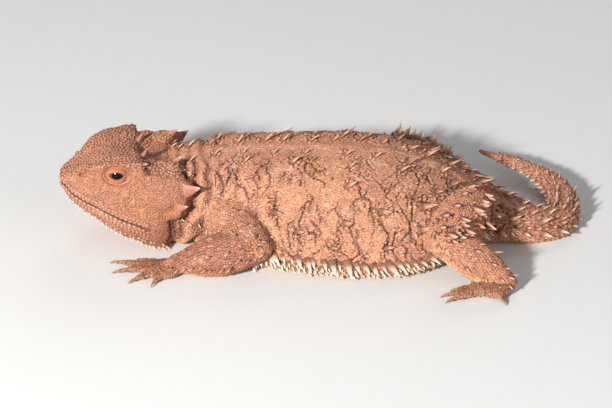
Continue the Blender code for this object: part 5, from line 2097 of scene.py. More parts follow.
@dataclass
class ScaleCoat:
    """All scales and spines, in pieces by zone and side.

    Attributes:
        skin: The skin that they stand on.
        material: What they are made of.
        plates: How many plates lie along a brow.
        size_spread: How much the sizes of small scales differ, as the spread of their logarithm.
        height_spread: How much their heights differ, in the same way.
        length_spread: How much the lengths of spines differ, in the same way.
        fringe_spread: How much those of the fringe differ.
        lean_spread: How much the directions of spines differ.
        bare: From which depth of a crease and of a crack on no scales grow.
    """

    skin: bpy.types.Object
    material: bpy.types.Material
    plates: int = 11
    size_spread: float = 0.11
    height_spread: float = 0.25
    length_spread: float = 0.14
    fringe_spread: float = 0.2
    lean_spread: float = 0.08
    bare: tuple[float, float] = (0.6, 0.8)

    def build(self) -> None:
        """Make every layer, row and plate and put them in their pieces."""
        spines = {zone: Coat(f"{zone}_spines", slot) for zone, slot in (
            ("body", "body_skin"), ("fringe", "body_skin"), ("tail", "tail_skin"),
            ("head", "head_skin"), ("limb", "limb_skin"))}
        for number, row in enumerate(SPINE_ROWS):
            self.spine_row(row, spines[row.zone], 100 + number)
        for limb, leg in enumerate(LEGS, 1):
            self.leg_spines(leg, limb, spines["limb"])
        self.lip_plates(spines["head"])
        self.brow_plates(spines["head"])
        for coat in spines.values():
            coat.finish(self.material)
        for number, layer in enumerate(LAYERS):
            self.layer(layer, 40 + number)

    @staticmethod
    def plans(layer: Layer) -> Iterable[RowPlan]:
        """The rows of a layer on every tube of its zone.

        Args:
            layer: The layer.

        Returns:
            One plan for each tube.
        """
        step = layer.spacing
        if layer.zone == "tail":
            places = np.linspace(BODY_END - 0.1, LAST - 0.1, 200)
            yield RowPlan(TRUNK.grid(places, 64)[0], (0, 0), step, 0.9, places[0], places[-1])
        for number, leg in enumerate(LEGS, 1):
            foot = (Region.FOOT.value, number)
            if layer.zone == "limb":
                for segment, region in leg.lengths():
                    rings = swept(*leg.length(segment), 32)
                    yield RowPlan(rings, (region.value, number), step, 1.3)
            elif layer.zone == "foot":
                palm = ellipsoid(leg.point(leg.palm), leg.palm_half, (1.0, 0.0, 0.0), 32, 24)
                yield RowPlan(palm, foot, step)
                for tip in leg.toes:
                    yield RowPlan(swept(*leg.toe(tip), 16, 0.92), foot, step, 0.4)

    def row_roots(self, layer: Layer) -> Roots:
        """The roots of a layer that stands in rows, with strewn ones where the rows leave gaps.

        Args:
            layer: The layer.

        Returns:
            The roots.
        """
        rows = Roots.joined([Roots.in_rows(self.skin, plan, "mask_" + layer.zone)
                             for plan in self.plans(layer)])
        fill = Roots.scattered(self.skin, layer.zone, layer.spacing * 0.75, 11)
        return Roots.joined([rows, fill.pick(~fill.beside(rows.points, layer.spacing * 0.36))])

    def layer(self, layer: Layer, seed: int) -> None:
        """The small scales of one layer, parted into pieces left and right and along.

        Args:
            layer: The layer.
            seed: Picks the spread and the small differences.
        """
        roots = (self.row_roots(layer) if layer.rows
                 else Roots.scattered(self.skin, layer.zone, layer.spacing, seed))
        chance = np.random.default_rng(seed)
        size = layer.spacing * np.exp(chance.normal(0, self.size_spread, len(roots.points)))
        size = size * (1 - 0.3 * np.clip(roots.crease, 0, 1))
        heights = layer.height * np.exp(chance.normal(0, self.height_spread, len(size)))
        line = 0 * roots.crease
        if layer.zone == "body":
            line = CRACKS.strength(*spread_of(roots.sites))[0] * (roots.parts[:, 0] < 0.5)
            roots.crease = roots.crease * 0.5
        keep = (roots.crease < self.bare[0]) & (line < self.bare[1])
        x = roots.points[:, 0]
        cuts = np.quantile(x, np.linspace(0, 1, layer.pieces + 1))
        for side in Side:
            here = keep & ((roots.points[:, 1] < -0.5) == (side is Side.LEFT))
            for piece in range(layer.pieces):
                chosen = here & (x >= cuts[piece]) & (x <= cuts[piece + 1])
                suffix = f"_{piece + 1}" if layer.pieces > 1 else ""
                coat = Coat(f"{side.word}_{layer.zone}_scales{suffix}", layer.slot)
                coat.add_scales(roots.pick(chosen), layer.shape, size[chosen] * layer.length,
                                size[chosen] * layer.width, heights[chosen], seed + piece,
                                layer.pale, layer.rim)
                coat.finish(self.material)

    def spine_row(self, row: SpineRow, coat: Coat, seed: int) -> None:
        """The spines of one row on both sides, each in its rosette of small scales.

        Args:
            row: The row.
            coat: The piece that takes them.
            seed: Picks the small differences.
        """
        chance = np.random.default_rng(seed)
        for side in (Side if row.only is None else (row.only,)):
            places = TRUNK.spaced(row.first, row.last, row.spacing)
            mm_per_place = np.interp(places, np.arange(LAST) + 0.5, np.diff(TRUNK.runs))
            places = places + chance.uniform(-1, 1, len(places)) * row.wander / mm_per_place
            stray = chance.uniform(-1, 1, len(places)) * row.wander * 0.6
            turns = row.turn + stray / TRUNK.girth_at(places)
            turns = turns if side is Side.LEFT else 1 - turns
            roots = Roots.on_trunk(places, turns).settle(self.skin)
            share = (places - row.first) / max(row.last - row.first, 1e-6)
            lengths = row.lengths[0] + (row.lengths[1] - row.lengths[0]) * np.clip(share, 0, 1)
            spread = self.fringe_spread if row.zone == "fringe" else self.length_spread
            lengths = lengths * np.exp(chance.normal(0, spread, len(places)))
            lean = np.array(row.lean) + chance.normal(0, self.lean_spread, (len(places), 3))
            ways = lean[:, :1] * roots.normals + lean[:, 1:2] * roots.ways
            ways = ways + lean[:, 2:] * np.array((0.0, 0.0, 1.0))
            broad = roots.ways if row.flat_along else np.cross(roots.normals, roots.ways)
            coat.add_spines(roots, ways, broad, lengths, lengths * row.width, row.flatness,
                            row.arch, seed, row.pale)
            if row.rosette:
                self.rosettes(roots, lengths * row.width, row.rosette, coat, seed + 500)

    @staticmethod
    def rosettes(roots: Roots, widths: np.ndarray, count: int, coat: Coat, seed: int) -> None:
        """Small pointed scales in a ring round each root, leaning outwards and back.

        Args:
            roots: Where the spines stand.
            widths: The widths of the spines.
            count: How many scales stand round each.
            coat: The piece that takes them.
            seed: Picks the small differences.
        """
        chance = np.random.default_rng(seed)
        lie, across = roots.frames()
        number = len(widths)
        angles = 2 * np.pi * (np.arange(count) + chance.uniform(0, 1, (number, 1))) / count
        out = (np.cos(angles)[..., None] * lie[:, None]
               + np.sin(angles)[..., None] * across[:, None])
        points = roots.points[:, None] + out * (0.5 * widths + 0.32)[:, None, None]
        many = np.repeat(np.arange(number), count)
        ring = roots.pick(many)
        ring.points = points.reshape(-1, 3)
        ring.ways = unit(out.reshape(-1, 3) * 0.6 + np.repeat(lie, count, 0) * 0.7)
        size = np.clip(widths[many] * 0.55, 0.45, 0.95) * chance.uniform(0.8, 1.2, len(many))
        coat.add_scales(ring, ScaleShape.POINTED, size * 1.15, size, size * 0.42, seed)

    def leg_spines(self, leg: Leg, limb: int, coat: Coat) -> None:
        """Spines in lines along both lengths of a leg.

        Args:
            leg: The leg.
            limb: Its number.
            coat: The piece that takes them.
        """
        for order, (name, (segment, region)) in enumerate(zip(leg.names, leg.lengths())):
            path, radii = leg.length(segment, 60)
            way = unit(path[-1] - path[0])
            for number, line in enumerate(LEG_SPINES[name]):
                seed, count = 300 + 40 * order + number, line.count
                chance = np.random.default_rng(seed)
                facing = leg.point(line.facing)
                facing = unit(facing - facing @ way * way)
                share = (np.arange(count) + 0.5) / count * 0.72 + 0.14
                share = share + chance.uniform(-0.3, 0.3, count) / count * 0.7
                steps = share * (len(path) - 1)
                turn = chance.normal(0, 0.12, count)[:, None]
                normals = unit(facing + turn * np.cross(way, facing))
                points = along(path, steps) + normals * (along(radii[:, None], steps) - 0.1)
                ways = np.broadcast_to(way, points.shape)
                sites = site_of(np.clip(share, 0, 1), np.zeros(count))
                roots = Roots.level(points, normals, ways, sites, (region.value, limb))
                roots.settle(self.skin)
                lengths = line.length * np.exp(chance.normal(0, 0.15, count))
                back = np.array((0.5 if name == "thigh" else 0.0, 0.0, 0.0))
                coat.add_spines(roots, 0.55 * roots.normals + 0.8 * ways + back,
                                np.cross(roots.normals, ways), lengths, lengths * line.width,
                                0.55, 0.05, seed, 0.45)
                if line.width > 0.7:
                    self.rosettes(roots, lengths * line.width * 0.7, 5, coat, seed + 500)

    def lip_plates(self, coat: Coat) -> None:
        """Rows of plates above and below the line of the mouth, round the snout.

        Args:
            coat: The piece that takes them.
        """
        line, places, turns = mouth_line()
        run = runs_of(line)
        for number, (rise, step, length, width, height) in enumerate(LIP_ROWS):
            stations = np.arange(0.4, run[-1] - 0.3, step)
            order = np.arange(len(stations))
            here_places = np.interp(stations, run, places)
            here_turns = np.interp(stations, run, turns)
            shift = rise / np.maximum(TRUNK.girth_at(here_places), 12.0)
            here_turns = here_turns + np.where(here_turns < 0.5, shift, -shift)
            roots = Roots.on_trunk(np.maximum(here_places, 0.3), here_turns).settle(self.skin)
            roots.crease = roots.crease * 0.25
            spots = np.stack([np.interp(stations, run, axis) for axis in line.T], axis=1)
            roots.ways = unit(np.gradient(spots, axis=0))
            taper = 0.7 + 0.3 * np.clip(np.minimum(order, order[::-1]) / 4, 0, 1)
            coat.add_scales(roots, ScaleShape.PLATE, length * taper, width * taper,
                            np.full(len(order), height), 600 + number, 0.36)

    def brow_plates(self, coat: Coat) -> None:
        """Overlapping plates along each brow ridge and a short spine behind the eye.

        Args:
            coat: The piece that takes them.
        """
        for side in Side:
            first, length = (0.8, 1.3) if side is Side.LEFT else (1.6, 0.9)
            steps = np.linspace(first, 4.6, self.plates)
            middle = along(brow_path(side), steps)
            ways = unit(np.gradient(middle, axis=0))
            out = TRUNK.head_direction((0.0, 0.75, 0.65), side)
            normals = unit(out - (ways @ out)[:, None] * ways)
            thick = np.interp(steps, np.arange(len(BROW_RADII)), BROW_RADII)
            roots = Roots.level(middle + normals * thick[:, None], normals, ways,
                                head_sites(middle)).settle(self.skin)
            size = np.linspace(0.7, 1.0, len(steps))
            coat.add_scales(roots, ScaleShape.KEELED, 1.5 * size, 0.75 * size, 0.34 * size, 650,
                            0.25)
            last = roots.pick(np.array([len(steps) - 1]))
            coat.add_spines(last, last.ways + 0.3 * last.normals - (0, 0, 0.25),
                            np.cross(last.normals, last.ways), np.array([length]),
                            np.array([1.2]), 0.7, 0.1, 651, 0.25)


# Where the fold and the seat on the skin lie between the lids' opening and outer edge, and the
# rows of grains on them: share, size and height
LID_FOLD = 0.62
LID_SEAT = 0.82
LID_ROWS = ((0.06, 0.22, 0.07), (0.30, 0.26, 0.05), (0.46, 0.3, 0.06), (0.68, 0.34, 0.1),
            (0.76, 0.38, 0.12), (0.85, 0.42, 0.14), (0.94, 0.46, 0.22))


@dataclass
class Lids:
    """The lids of both eyes: a closed almond-shaped ring of folded skin over each eyeball.

    Attributes:
        skin: The skin that the lids run out on.
        material: What they are made of.
        opening: Half length and half height of the opening.
        fold: Half length and half height of the dark fold round the lids.
        outer: Half length and half height of the outer edge, sunk in the skin.
        thickness: Thickness of the sheet.
        clearance: How far over the eyeball the sheet lies at the opening.
        bulge: How much further it lies half way to the fold.
        wrinkle: Height of its wrinkles.
        sides: Points of a ring.
        rings: Rings of the outer sheet, and of the inner one.
    """

    skin: bpy.types.Object
    material: bpy.types.Material
    opening: tuple[float, float] = (1.3, 0.80)
    # fold: Half length and half height of the fold round the lids, darkened with painted shade.
    fold: tuple[float, float] = (2.95, 2.05)
    outer: tuple[float, float] = (3.5, 2.7)
    thickness: float = 0.3
    clearance: float = 0.2
    bulge: float = 0.28
    wrinkle: float = 0.05
    sides: int = 72
    rings: int = 22

    def build(self) -> None:
        """Make the lids of each side, with rows of small grains on them."""
        for side in Side:
            self.lid(side)
            self.grains(side)

    def surface(self, side: Side, shares: np.ndarray,
                angles: np.ndarray) -> tuple[np.ndarray, np.ndarray]:
        """Points and normals of the lids at shares from the opening to the outer edge.

        Inside the fold the sheet lies on a ball a little larger than the eyeball, with two
        low wrinkles. From there it rises to the skin's height at the seat round the eye, and
        beyond the seat it follows the skin and dips into it.

        Args:
            side: Which eye.
            shares: From 0 at the opening to 1 at the outer edge.
            angles: Round the eye, 0 ahead and a quarter turn up.

        Returns:
            Points and normals, as (share, angle, 3).
        """
        eye, gaze, ahead, above = eye_frame(side)
        seat_x, seat_y = self.spread(np.full_like(angles, LID_SEAT), angles)
        shares, angles = np.meshgrid(shares, angles, indexing="ij")
        inner = np.clip(shares / LID_FOLD, 0, 1)
        x, y = self.spread(shares, angles)
        reach = EYE_RADIUS + self.clearance
        ball = np.sqrt(np.maximum(reach ** 2 - x ** 2 - y ** 2, 0.9))
        wrinkle = self.wrinkle * np.cos(2 * np.pi * 2.5 * inner) * (inner > 0.15)
        ball = ball + self.bulge * np.sin(np.pi * inner) ** 0.7 + wrinkle
        point = eye + x[..., None] * ahead + y[..., None] * above + ball[..., None] * gaze
        found = Geometry.nearest(self.skin, point.reshape(-1, 3))
        way = unit(found["normal"])
        lift = np.interp(shares.ravel(), (LID_FOLD, LID_FOLD + 0.1, 0.85, 1.0),
                         (0.0, 0.08, 0.0, -0.25))
        outside = (found["spot"] + way * lift[:, None]).reshape(point.shape)
        seat = eye + seat_x[:, None] * ahead + seat_y[:, None] * above + 1.5 * gaze
        height = (Geometry.nearest(self.skin, seat)["spot"] - eye) @ gaze + 0.1
        rise = (height - ball) * smooth_step(LID_FOLD - 0.3, LID_FOLD + 0.02, shares)
        point = point + rise[..., None] * gaze
        blend = smooth_step(LID_SEAT - 0.04, LID_SEAT + 0.06, shares)[..., None]
        point = point * (1 - blend) + outside * blend
        normal = unit(x[..., None] * ahead + y[..., None] * above + 1.6 * gaze)
        normal = unit(normal * (1 - blend) + way.reshape(point.shape) * blend)
        return point, normal

    def spread(self, shares: np.ndarray, angles: np.ndarray) -> tuple[np.ndarray, np.ndarray]:
        """How far ahead of the eye's middle and above it the sheet lies.

        Args:
            shares: From 0 at the opening to 1 at the outer edge.
            angles: Round the eye.

        Returns:
            Both distances in millimetres.
        """
        corner = 1 + 0.22 * np.abs(np.cos(angles)) ** 6
        inner = np.clip(shares / LID_FOLD, 0, 1)
        outer = np.clip((shares - LID_FOLD) / (1 - LID_FOLD), 0, 1)
        half = [self.opening[axis] + (self.fold[axis] - self.opening[axis]) * inner
                + (self.outer[axis] - self.fold[axis]) * outer for axis in (0, 1)]
        return (half[0] * np.cos(angles) * (corner * (1 - inner) + inner),
                half[1] * np.sin(angles))

    def lid(self, side: Side) -> None:
        """One side's lids: an outer and an inner sheet, joined at both edges.

        Args:
            side: Which eye.
        """
        angles, shares = circle(self.sides), np.linspace(0, 1, self.rings)
        outer, normals = self.surface(side, shares, angles)
        inner = outer - self.thickness * normals
        points = np.concatenate([outer, inner[::-1]]).reshape(-1, 3)
        faces = np.concatenate([make(2 * self.rings, self.sides)
                                for make in (grid_faces, seam_faces)])
        probe = 3 * self.sides
        faces = towards(faces, points, probe, normals.reshape(-1, 3)[probe])
        zone, under = zones_of(points, head_sites(points), np.zeros((len(points), 3)))
        edge = np.concatenate([shares, shares[::-1]]).repeat(self.sides)
        lower = np.tile(angles, 2 * self.rings) > np.pi
        tip = 0.35 * lower * bell(edge - 0.8 * LID_FOLD, 0.08)
        # The fold round the lids gets painted shade through the crease.
        dress(new_object(f"{side.word}_lids", points, faces), self.material, "head_skin",
              tone=np.column_stack([tip, 0 * edge, bell(edge - LID_FOLD, 0.06)]),
              rim=1 - smooth_step(0.9 * LID_FOLD, 1.3 * LID_FOLD, edge), lift=1 + 0 * edge,
              zone=zone, under=0 * under)

    def grains(self, side: Side) -> None:
        """The rows of grains on one side's lids.

        Args:
            side: Which eye.
        """
        coat = Coat(f"{side.word}_lid_scales", "head_skin")
        for number, (share, size, height) in enumerate(LID_ROWS):
            count = int(2 * np.pi * (1.3 + 1.9 * share) / size * 0.9)
            around = circle(count, 0.5 * (number % 2))
            spots, normals = (rows[0] for rows in self.surface(side, np.array([share]), around))
            roots = Roots.level(spots, normals, np.gradient(spots, axis=0), head_sites(spots))
            coat.add_scales(roots, ScaleShape.GRAIN, np.full(count, size * 1.15),
                            np.full(count, size * 1.1), np.full(count, height), 700 + number,
                            0.1, 0.6)
        coat.finish(self.material)


@dataclass
class Nostrils:
    """A rimmed pit for each nostril, sunk in the skin and darkened with painted shade.

    Attributes:
        skin: The skin.
        material: What they are made of.
        profile: The radius, height and painted shade of each ring, from the rim's foot to the back.
        sides: Points of a ring.
    """

    skin: bpy.types.Object
    material: bpy.types.Material
    profile: tuple[Spot, ...] = (
        (0.62, -0.22, 0.0), (0.52, 0.06, 0.0), (0.42, 0.16, 0.0), (0.34, 0.12, 0.25),
        (0.26, -0.08, 1.0), (0.20, -0.30, 1.0), (0.02, -0.42, 1.0), (0.02, -0.6, 1.0),
        (0.40, -0.55, 0.5), (0.62, -0.4, 0.0))
    sides: int = 28

    def build(self) -> None:
        """Make both nostrils: rings that rise to a rim and fall to a pit, closed behind."""
        radii, rises, deep = np.array(self.profile).T
        angles, count = circle(self.sides)[:, None], len(self.profile)
        faces = np.concatenate([make(count, self.sides) for make in (grid_faces, seam_faces)])
        shade = deep.repeat(self.sides)
        for side in Side:
            spot = TRUNK.head_point(NOSTRIL_PLACE, side)[None]
            out = unit(TRUNK.head_direction((-0.35, 0.9, 0.25), side))
            middle = Geometry.nearest(self.skin, spot)["spot"][0] + 0.28 * out
            across = unit(np.cross(out, (0.25, 0.0, 1.0)))
            above = np.cross(across, out)
            oval = np.cos(angles) * across * 0.8 + np.sin(angles) * above * 1.25
            rings = middle + radii[:, None, None] * oval + rises[:, None, None] * out
            points = rings.reshape(-1, 3)
            obj = new_object(f"{side.word}_nostril", points,
                             towards(faces, points, 2 * self.sides, out))
            zone, under = zones_of(points, head_sites(points), np.zeros((len(points), 3)))
            # The pit gets painted shade through its crease and lift.
            dress(obj, self.material, "head_skin",
                  tone=np.column_stack([0 * shade, 0 * shade, 1.15 * shade]),
                  lift=1 - 0.6 * shade, zone=zone, under=0 * under)


@dataclass
class Eyes:
    """Both eyeballs, each a fine ball with its pupil told by a stored value.

    Attributes:
        material: What they are made of.
        pupil: Half length and half height of the pupil.
        cornea_radius: Radius of the smaller ball whose surface bulges over the pupil.
        cornea_shift: How far that ball's middle lies outside the eye's.
    """

    material: bpy.types.Material
    pupil: tuple[float, float] = (1.06, 0.70)
    cornea_radius: float = 1.2
    cornea_shift: float = 0.95

    def build(self) -> None:
        """Make the eyeballs, which stand for the solids of the eyes."""
        for side in Side:
            eye, gaze, ahead, above = eye_frame(side)
            rings = ellipsoid(eye, (EYE_RADIUS,) * 3, gaze, 64, 48)
            points = self.cornea(rings.reshape(-1, 3), eye, gaze)
            obj = new_object(f"{side.word}_eyeball", points, outward(grid_faces(48, 64), rings))
            offset = points - eye
            reach = np.hypot(offset @ ahead / self.pupil[0], offset @ above / self.pupil[1])
            dress(obj, self.material, "eye", pupil=np.where(offset @ gaze > 0, reach, 5.0))
            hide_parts(f"{side.word}_eye")

    def cornea(self, points: np.ndarray, eye: np.ndarray, gaze: np.ndarray) -> np.ndarray:
        """Bulge the ball over the pupil to the surface of a smaller ball further out.

        Args:
            points: Points of the ball.
            eye: Its middle.
            gaze: Its direction outwards.

        Returns:
            The moved points.
        """
        ways = unit(points - eye)
        ahead = np.clip(ways @ gaze, 0, 1)
        small, shift = self.cornea_radius, self.cornea_shift
        reach = shift * ahead + np.sqrt(np.maximum(small ** 2 - shift ** 2 * (1 - ahead ** 2), 0))
        reach = np.where(ahead > 0.85, np.maximum(reach, EYE_RADIUS), EYE_RADIUS)
        return eye + reach[:, None] * ways


def close_ends(obj: bpy.types.Object) -> None:
    """Fill the open ends of tubes.

    Args:
        obj: The piece with the tubes.
    """
    mesh = bmesh.new()
    mesh.from_mesh(obj.data)
    edges = [edge for edge in mesh.edges if edge.is_boundary]
    bmesh.ops.holes_fill(mesh, edges=edges, sides=0)
    mesh.to_mesh(obj.data)
    mesh.free()


@dataclass
class Horns:
    """The ridged horns, each of which stands for its solid.

    Attributes:
        material: What the horns behind the cheeks are made of.
        crown: What the horns of the crown are made of.
        rings: Rings of a horn.
        sides: Points of a ring.
        sunk: How far a horn reaches into the head, in millimetres.
        sag: How far its middle sags.
        growth: Count and height of the waves along a horn that its growth rings make.
        grooves: Count and height of its coarse and of its fine grooves.
    """

    material: bpy.types.Material
    crown: bpy.types.Material
    rings: int = 40
    sides: int = 48
    sunk: float = 1.3
    sag: float = 0.5
    growth: tuple[float, float] = (26, 0.03)
    grooves: tuple[tuple[int, float], ...] = ((9, 0.028), (16, 0.02))

    def build(self) -> None:
        """Make every horn of both sides."""
        for side in Side:
            for number, horn in enumerate(HORNS):
                self.horn(side, number, horn)

    def horn(self, side: Side, number: int, horn: Horn) -> None:
        """Make one horn.

        A ring shrinks along the path from root to tip as a power of the share left, with fine
        grooves along it, growth rings near the root, and a path that sags a little.

        Args:
            side: Its side.
            number: Its number, which turns its grooves.
            horn: Its sizes.
        """
        root, tip = TRUNK.head_point(horn.root, side), TRUNK.head_point(horn.tip, side)
        share = np.linspace(-self.sunk / np.linalg.norm(tip - root), 1, self.rings)
        path = root + (tip - root) * share[:, None]
        path[:, 2] += -self.sag * np.sin(np.pi * np.clip(share, 0, 1))
        left = np.clip(1 - share, 0, 1)
        thick = np.minimum(1.05 * left ** 0.9 + 0.012, 0.62 + 0.1 * left)
        waves, height = self.growth
        thick = horn.radius * horn.level * thick * (1 + height * np.sin(waves * share) * left)
        rings = swept(path, thick, self.sides, horn.upright / horn.level)
        angles = circle(self.sides, 0.5)
        (count, deep), (fine, fine_deep) = self.grooves
        groove = 1 + deep * np.cos(count * angles + number) + fine_deep * np.cos(fine * angles)
        middle = path[:, None]
        rings = middle + (rings - middle) * groove[None, :, None]
        obj = new_object(f"{side.word}_{horn.name}_horn_ridged", rings.reshape(-1, 3),
                         outward(grid_faces(self.rings, self.sides), rings))
        close_ends(obj)
        dress(obj, self.crown if horn.name == "occipital" else self.material, "horn",
              share=np.repeat(np.clip(share, 0, 1), self.sides))
        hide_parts(f"{side.word}_{horn.name}_horn")


@dataclass
class Claws:
    """The claws of each foot as one piece.

    Attributes:
        material: What they are made of.
        rings: Rings of a claw.
        sides: Points of a ring.
    """

    material: bpy.types.Material
    rings: int = 12
    sides: int = 12

    def build(self) -> None:
        """Make the claws of all four feet."""
        for leg in LEGS:
            points, faces = [], []
            for number, tip in enumerate(leg.toes):
                rings = swept(*leg.claw(tip, self.rings), self.sides, 1.25)
                rings[..., 2] = np.maximum(rings[..., 2], 0.03)
                points.append(rings.reshape(-1, 3))
                faces.append(outward(grid_faces(self.rings, self.sides), rings)
                             + number * len(points[0]))
            obj = new_object(f"{leg.side.word}_{leg.names[2]}_claws", np.concatenate(points),
                             np.concatenate(faces))
            close_ends(obj)
            share = np.repeat(np.linspace(0, 1, self.rings), self.sides)
            dress(obj, self.material, "horn", share=np.tile(share, len(leg.toes)) * 0.4)


class Value:
    """A socket of a material's node tree, with sums, products and the like as new nodes."""

    def __init__(self, shader: "Shader", socket: bpy.types.NodeSocket) -> None:
        """Wrap a socket."""
        self.shader = shader
        self.socket = socket

    def math(self, operation: str, *others: "Value | float") -> "Value":
        """A Math node over this value and the others."""
        return self.shader.add("ShaderNodeMath", {"operation": operation},
                               {i: value for i, value in enumerate((self, *others))})

    def __add__(self, other: "Value | float") -> "Value":
        """The sum."""
        return self.math("ADD", other)

    def __mul__(self, other: "Value | float") -> "Value":
        """The product."""
        return self.math("MULTIPLY", other)

    def step(self, low: float, high: float) -> "Value":
        """A smooth step from 0 at low to 1 at high."""
        return self.shader.add("ShaderNodeMapRange", {"interpolation_type": "SMOOTHSTEP"},
                               {"Value": self, "From Min": low, "From Max": high})


Color = tuple[float, float, float]


class Shader:
    """A material's node tree with one method that adds any node."""

    def __init__(self, name: str) -> None:
        """Start a material with its surface node."""
        self.material = bpy.data.materials.new(name)
        self.material.use_nodes = True
        self.tree = self.material.node_tree
        self.surface = next(n for n in self.tree.nodes if n.type == "BSDF_PRINCIPLED")

    def put(self, socket: Socket, value: "Value | float | Color") -> None:
        """Link a value to a socket, or set a number, vector or colour there.

        Args:
            socket: The socket that takes it.
            value: The value.
        """
        if isinstance(value, Value):
            self.tree.links.new(value.socket, socket)
        else:
            socket.default_value = (*value, 1.0) if socket.type == "RGBA" else value

    def add(self, kind: str, settings: dict[str, str | bool],
            inputs: dict[str | int, "Value | float | Color"], output: int = 0) -> Value:
        """Add a node.

        Args:
            kind: The node's type.
            settings: Its options.
            inputs: Values or links by socket name or number.
            output: Which of its outputs is wanted.

        Returns:
            The wanted output.
        """
        node = self.tree.nodes.new(kind)
        for key, value in settings.items():
            setattr(node, key, value)
        for key, value in inputs.items():
            self.put(node.inputs[key], value)
        return Value(self, node.outputs[output])

    def attribute(self, name: str, output: int = 2) -> Value:
        """A stored value, or with output 1 the stored vector."""
        return self.add("ShaderNodeAttribute", {"attribute_name": name}, {}, output)

    def parts(self, name: str) -> tuple[Value, ...]:
        """The three parts of a stored vector."""
        first = self.add("ShaderNodeSeparateXYZ", {}, {0: self.attribute(name, 1)})
        return tuple(Value(self, out) for out in first.socket.node.outputs)

    def place(self) -> Value:
        """The point in millimetres."""
        spot = self.add("ShaderNodeTexCoord", {}, {}, 3)
        return self.add("ShaderNodeVectorMath", {"operation": "SCALE"}, {0: spot, 3: 1 / MM})

    def noise(self, step: float, detail: float = 2.0, seed: float = 0.0) -> Value:
        """Noise around 0.5.

        Args:
            step: The size of its features in millimetres.
            detail: How many finer layers it has.
            seed: Picks another noise.

        Returns:
            The noise.
        """
        moved = self.add("ShaderNodeVectorMath", {"operation": "ADD"},
                         {0: self.place(), 1: (seed, seed * 1.7, -seed)})
        return self.add("ShaderNodeTexNoise", {}, {"Vector": moved, "Scale": 1 / step,
                                                    "Detail": detail})

    def mix(self, share: "Value | float", low: "Value | Color", high: "Value | Color",
            blend: str = "MIX") -> Value:
        """A mix of two colours.

        Args:
            share: How much of the second colour.
            low: The colour at 0.
            high: The colour at 1.
            blend: The way of mixing.

        Returns:
            The mixed colour.
        """
        settings = {"data_type": "RGBA", "blend_type": blend, "clamp_factor": True}
        return self.add("ShaderNodeMix", settings, {0: share, 6: low, 7: high}, 2)

    def finish(self, color: "Value | Color", roughness: "Value | float", coat: float = 0.0,
               bump: Value | None = None, depth: float = 0.1) -> bpy.types.Material:
        """Set up the surface node.

        Args:
            color: The base colour.
            roughness: The roughness.
            coat: The weight of a clear coat.
            bump: The height of a fine relief, from 0 to 1.
            depth: The depth of the relief in millimetres.

        Returns:
            The material.
        """
        for name, value in (("Base Color", color), ("Roughness", roughness),
                            ("Coat Weight", coat), ("Coat Roughness", 0.04)):
            self.put(self.surface.inputs[name], value)
        if bump is not None:
            relief = self.add("ShaderNodeBump", {}, {"Height": bump, "Distance": depth * MM,
                                                      "Strength": 0.6})
            self.put(self.surface.inputs["Normal"], relief)
        return self.material


@dataclass(frozen=True)
class SkinFinish:
    """Colours of skin and coat, as linear values, among them painted shade and painted glints, and
    the dryness of the surface.
    """

    body: Color = (0.505, 0.222, 0.120)
    head: Color = (0.325, 0.115, 0.056)
    # The limb colour is partly the limbs' own red-brown and partly painted shade of the shaded
    # forearms, hands and feet.
    limb: Color = (0.265, 0.083, 0.038)
    tail: Color = (0.420, 0.165, 0.090)
    # pale serves both for the pale patches of the skin and for painted glints on single scales.
    pale: Color = (0.700, 0.420, 0.270)
    under: Color = (0.680, 0.370, 0.170)
    jaw: Color = (0.500, 0.185, 0.085)
    # crease is painted shade: it darkens creases, cracks, neck folds, the mouth line, the notch
    # behind each brow, the lid folds, the nostrils and the feet.
    crease: Color = (0.110, 0.032, 0.020)
    blotch: Color = (0.300, 0.120, 0.065)
    warm: Color = (0.560, 0.195, 0.080)
    tip: Color = (0.800, 0.690, 0.560)
    lid_edge: Color = (0.450, 0.150, 0.085)
    roughness: float = 0.72

    def build(self) -> bpy.types.Material:
        """Mix the colours by zone and markings, with painted shade in creases and at the feet of
        scales and spines, and painted glints on single scales.

        Returns:
            The material that skin, scales, spines and lids share.
        """
        shader = Shader("scaly_skin")
        head, limb, tail = shader.parts("zone")
        tip, grain, crease = shader.parts("tone")
        under = shader.attribute("under")
        color = shader.mix(head, self.body, self.head)
        color = shader.mix(limb, color, self.limb)
        color = shader.mix(tail, color, self.tail)
        large = shader.noise(6.5, 3.0)
        color = shader.mix(large.step(0.52, 0.72) * 0.55, color, self.blotch)
        patches = shader.noise(3.0, 3.0, 31.0).step(0.55, 0.75) * (head * -0.3 + limb * -0.25 + 0.5)
        color = shader.mix(patches, color, self.pale)
        glow = shader.noise(2.2, 3.0, 91.0).step(0.50, 0.70) * (head * -0.15 + 0.4)
        color = shader.mix(glow, color, self.warm)
        speckle = shader.noise(0.9, 3.0, 57.0).step(0.54, 0.70)
        color = shader.mix(speckle * 0.55, color, self.blotch)
        color = shader.mix(under, color, shader.mix(head, self.under, self.jaw))
        # Painted glints: pale spots on the lightest single scales, standing in for highlights.
        painted_glint = grain.step(0.78, 1.0) * (head * -0.2 + 0.3)
        color = shader.mix(painted_glint, color, self.pale)
        # Painted shade in creases, cracks, folds and pits.
        color = shader.mix(crease * 0.78, color, self.crease)
        # Painted shade at the feet of scales and spines and on the skin between them, set by height
        # over the foot; grain adds a random tone of each form.
        lift = shader.attribute("lift").step(0.40, 0.80)
        shade = (grain * 0.13 + 1.0) * (lift * 0.58 + 0.42)
        bright = shader.add("ShaderNodeCombineColor", {}, {0: shade, 1: shade, 2: shade})
        color = shader.mix(1.0, color, bright, "MULTIPLY")
        color = shader.mix(tip, color, self.tip)
        rim = shader.attribute("rim")
        color = shader.mix(rim * 0.62, color, self.lid_edge)
        fine = shader.noise(0.12, 2.0, 11.0)
        return shader.finish(color, self.roughness, bump=fine, depth=0.05)


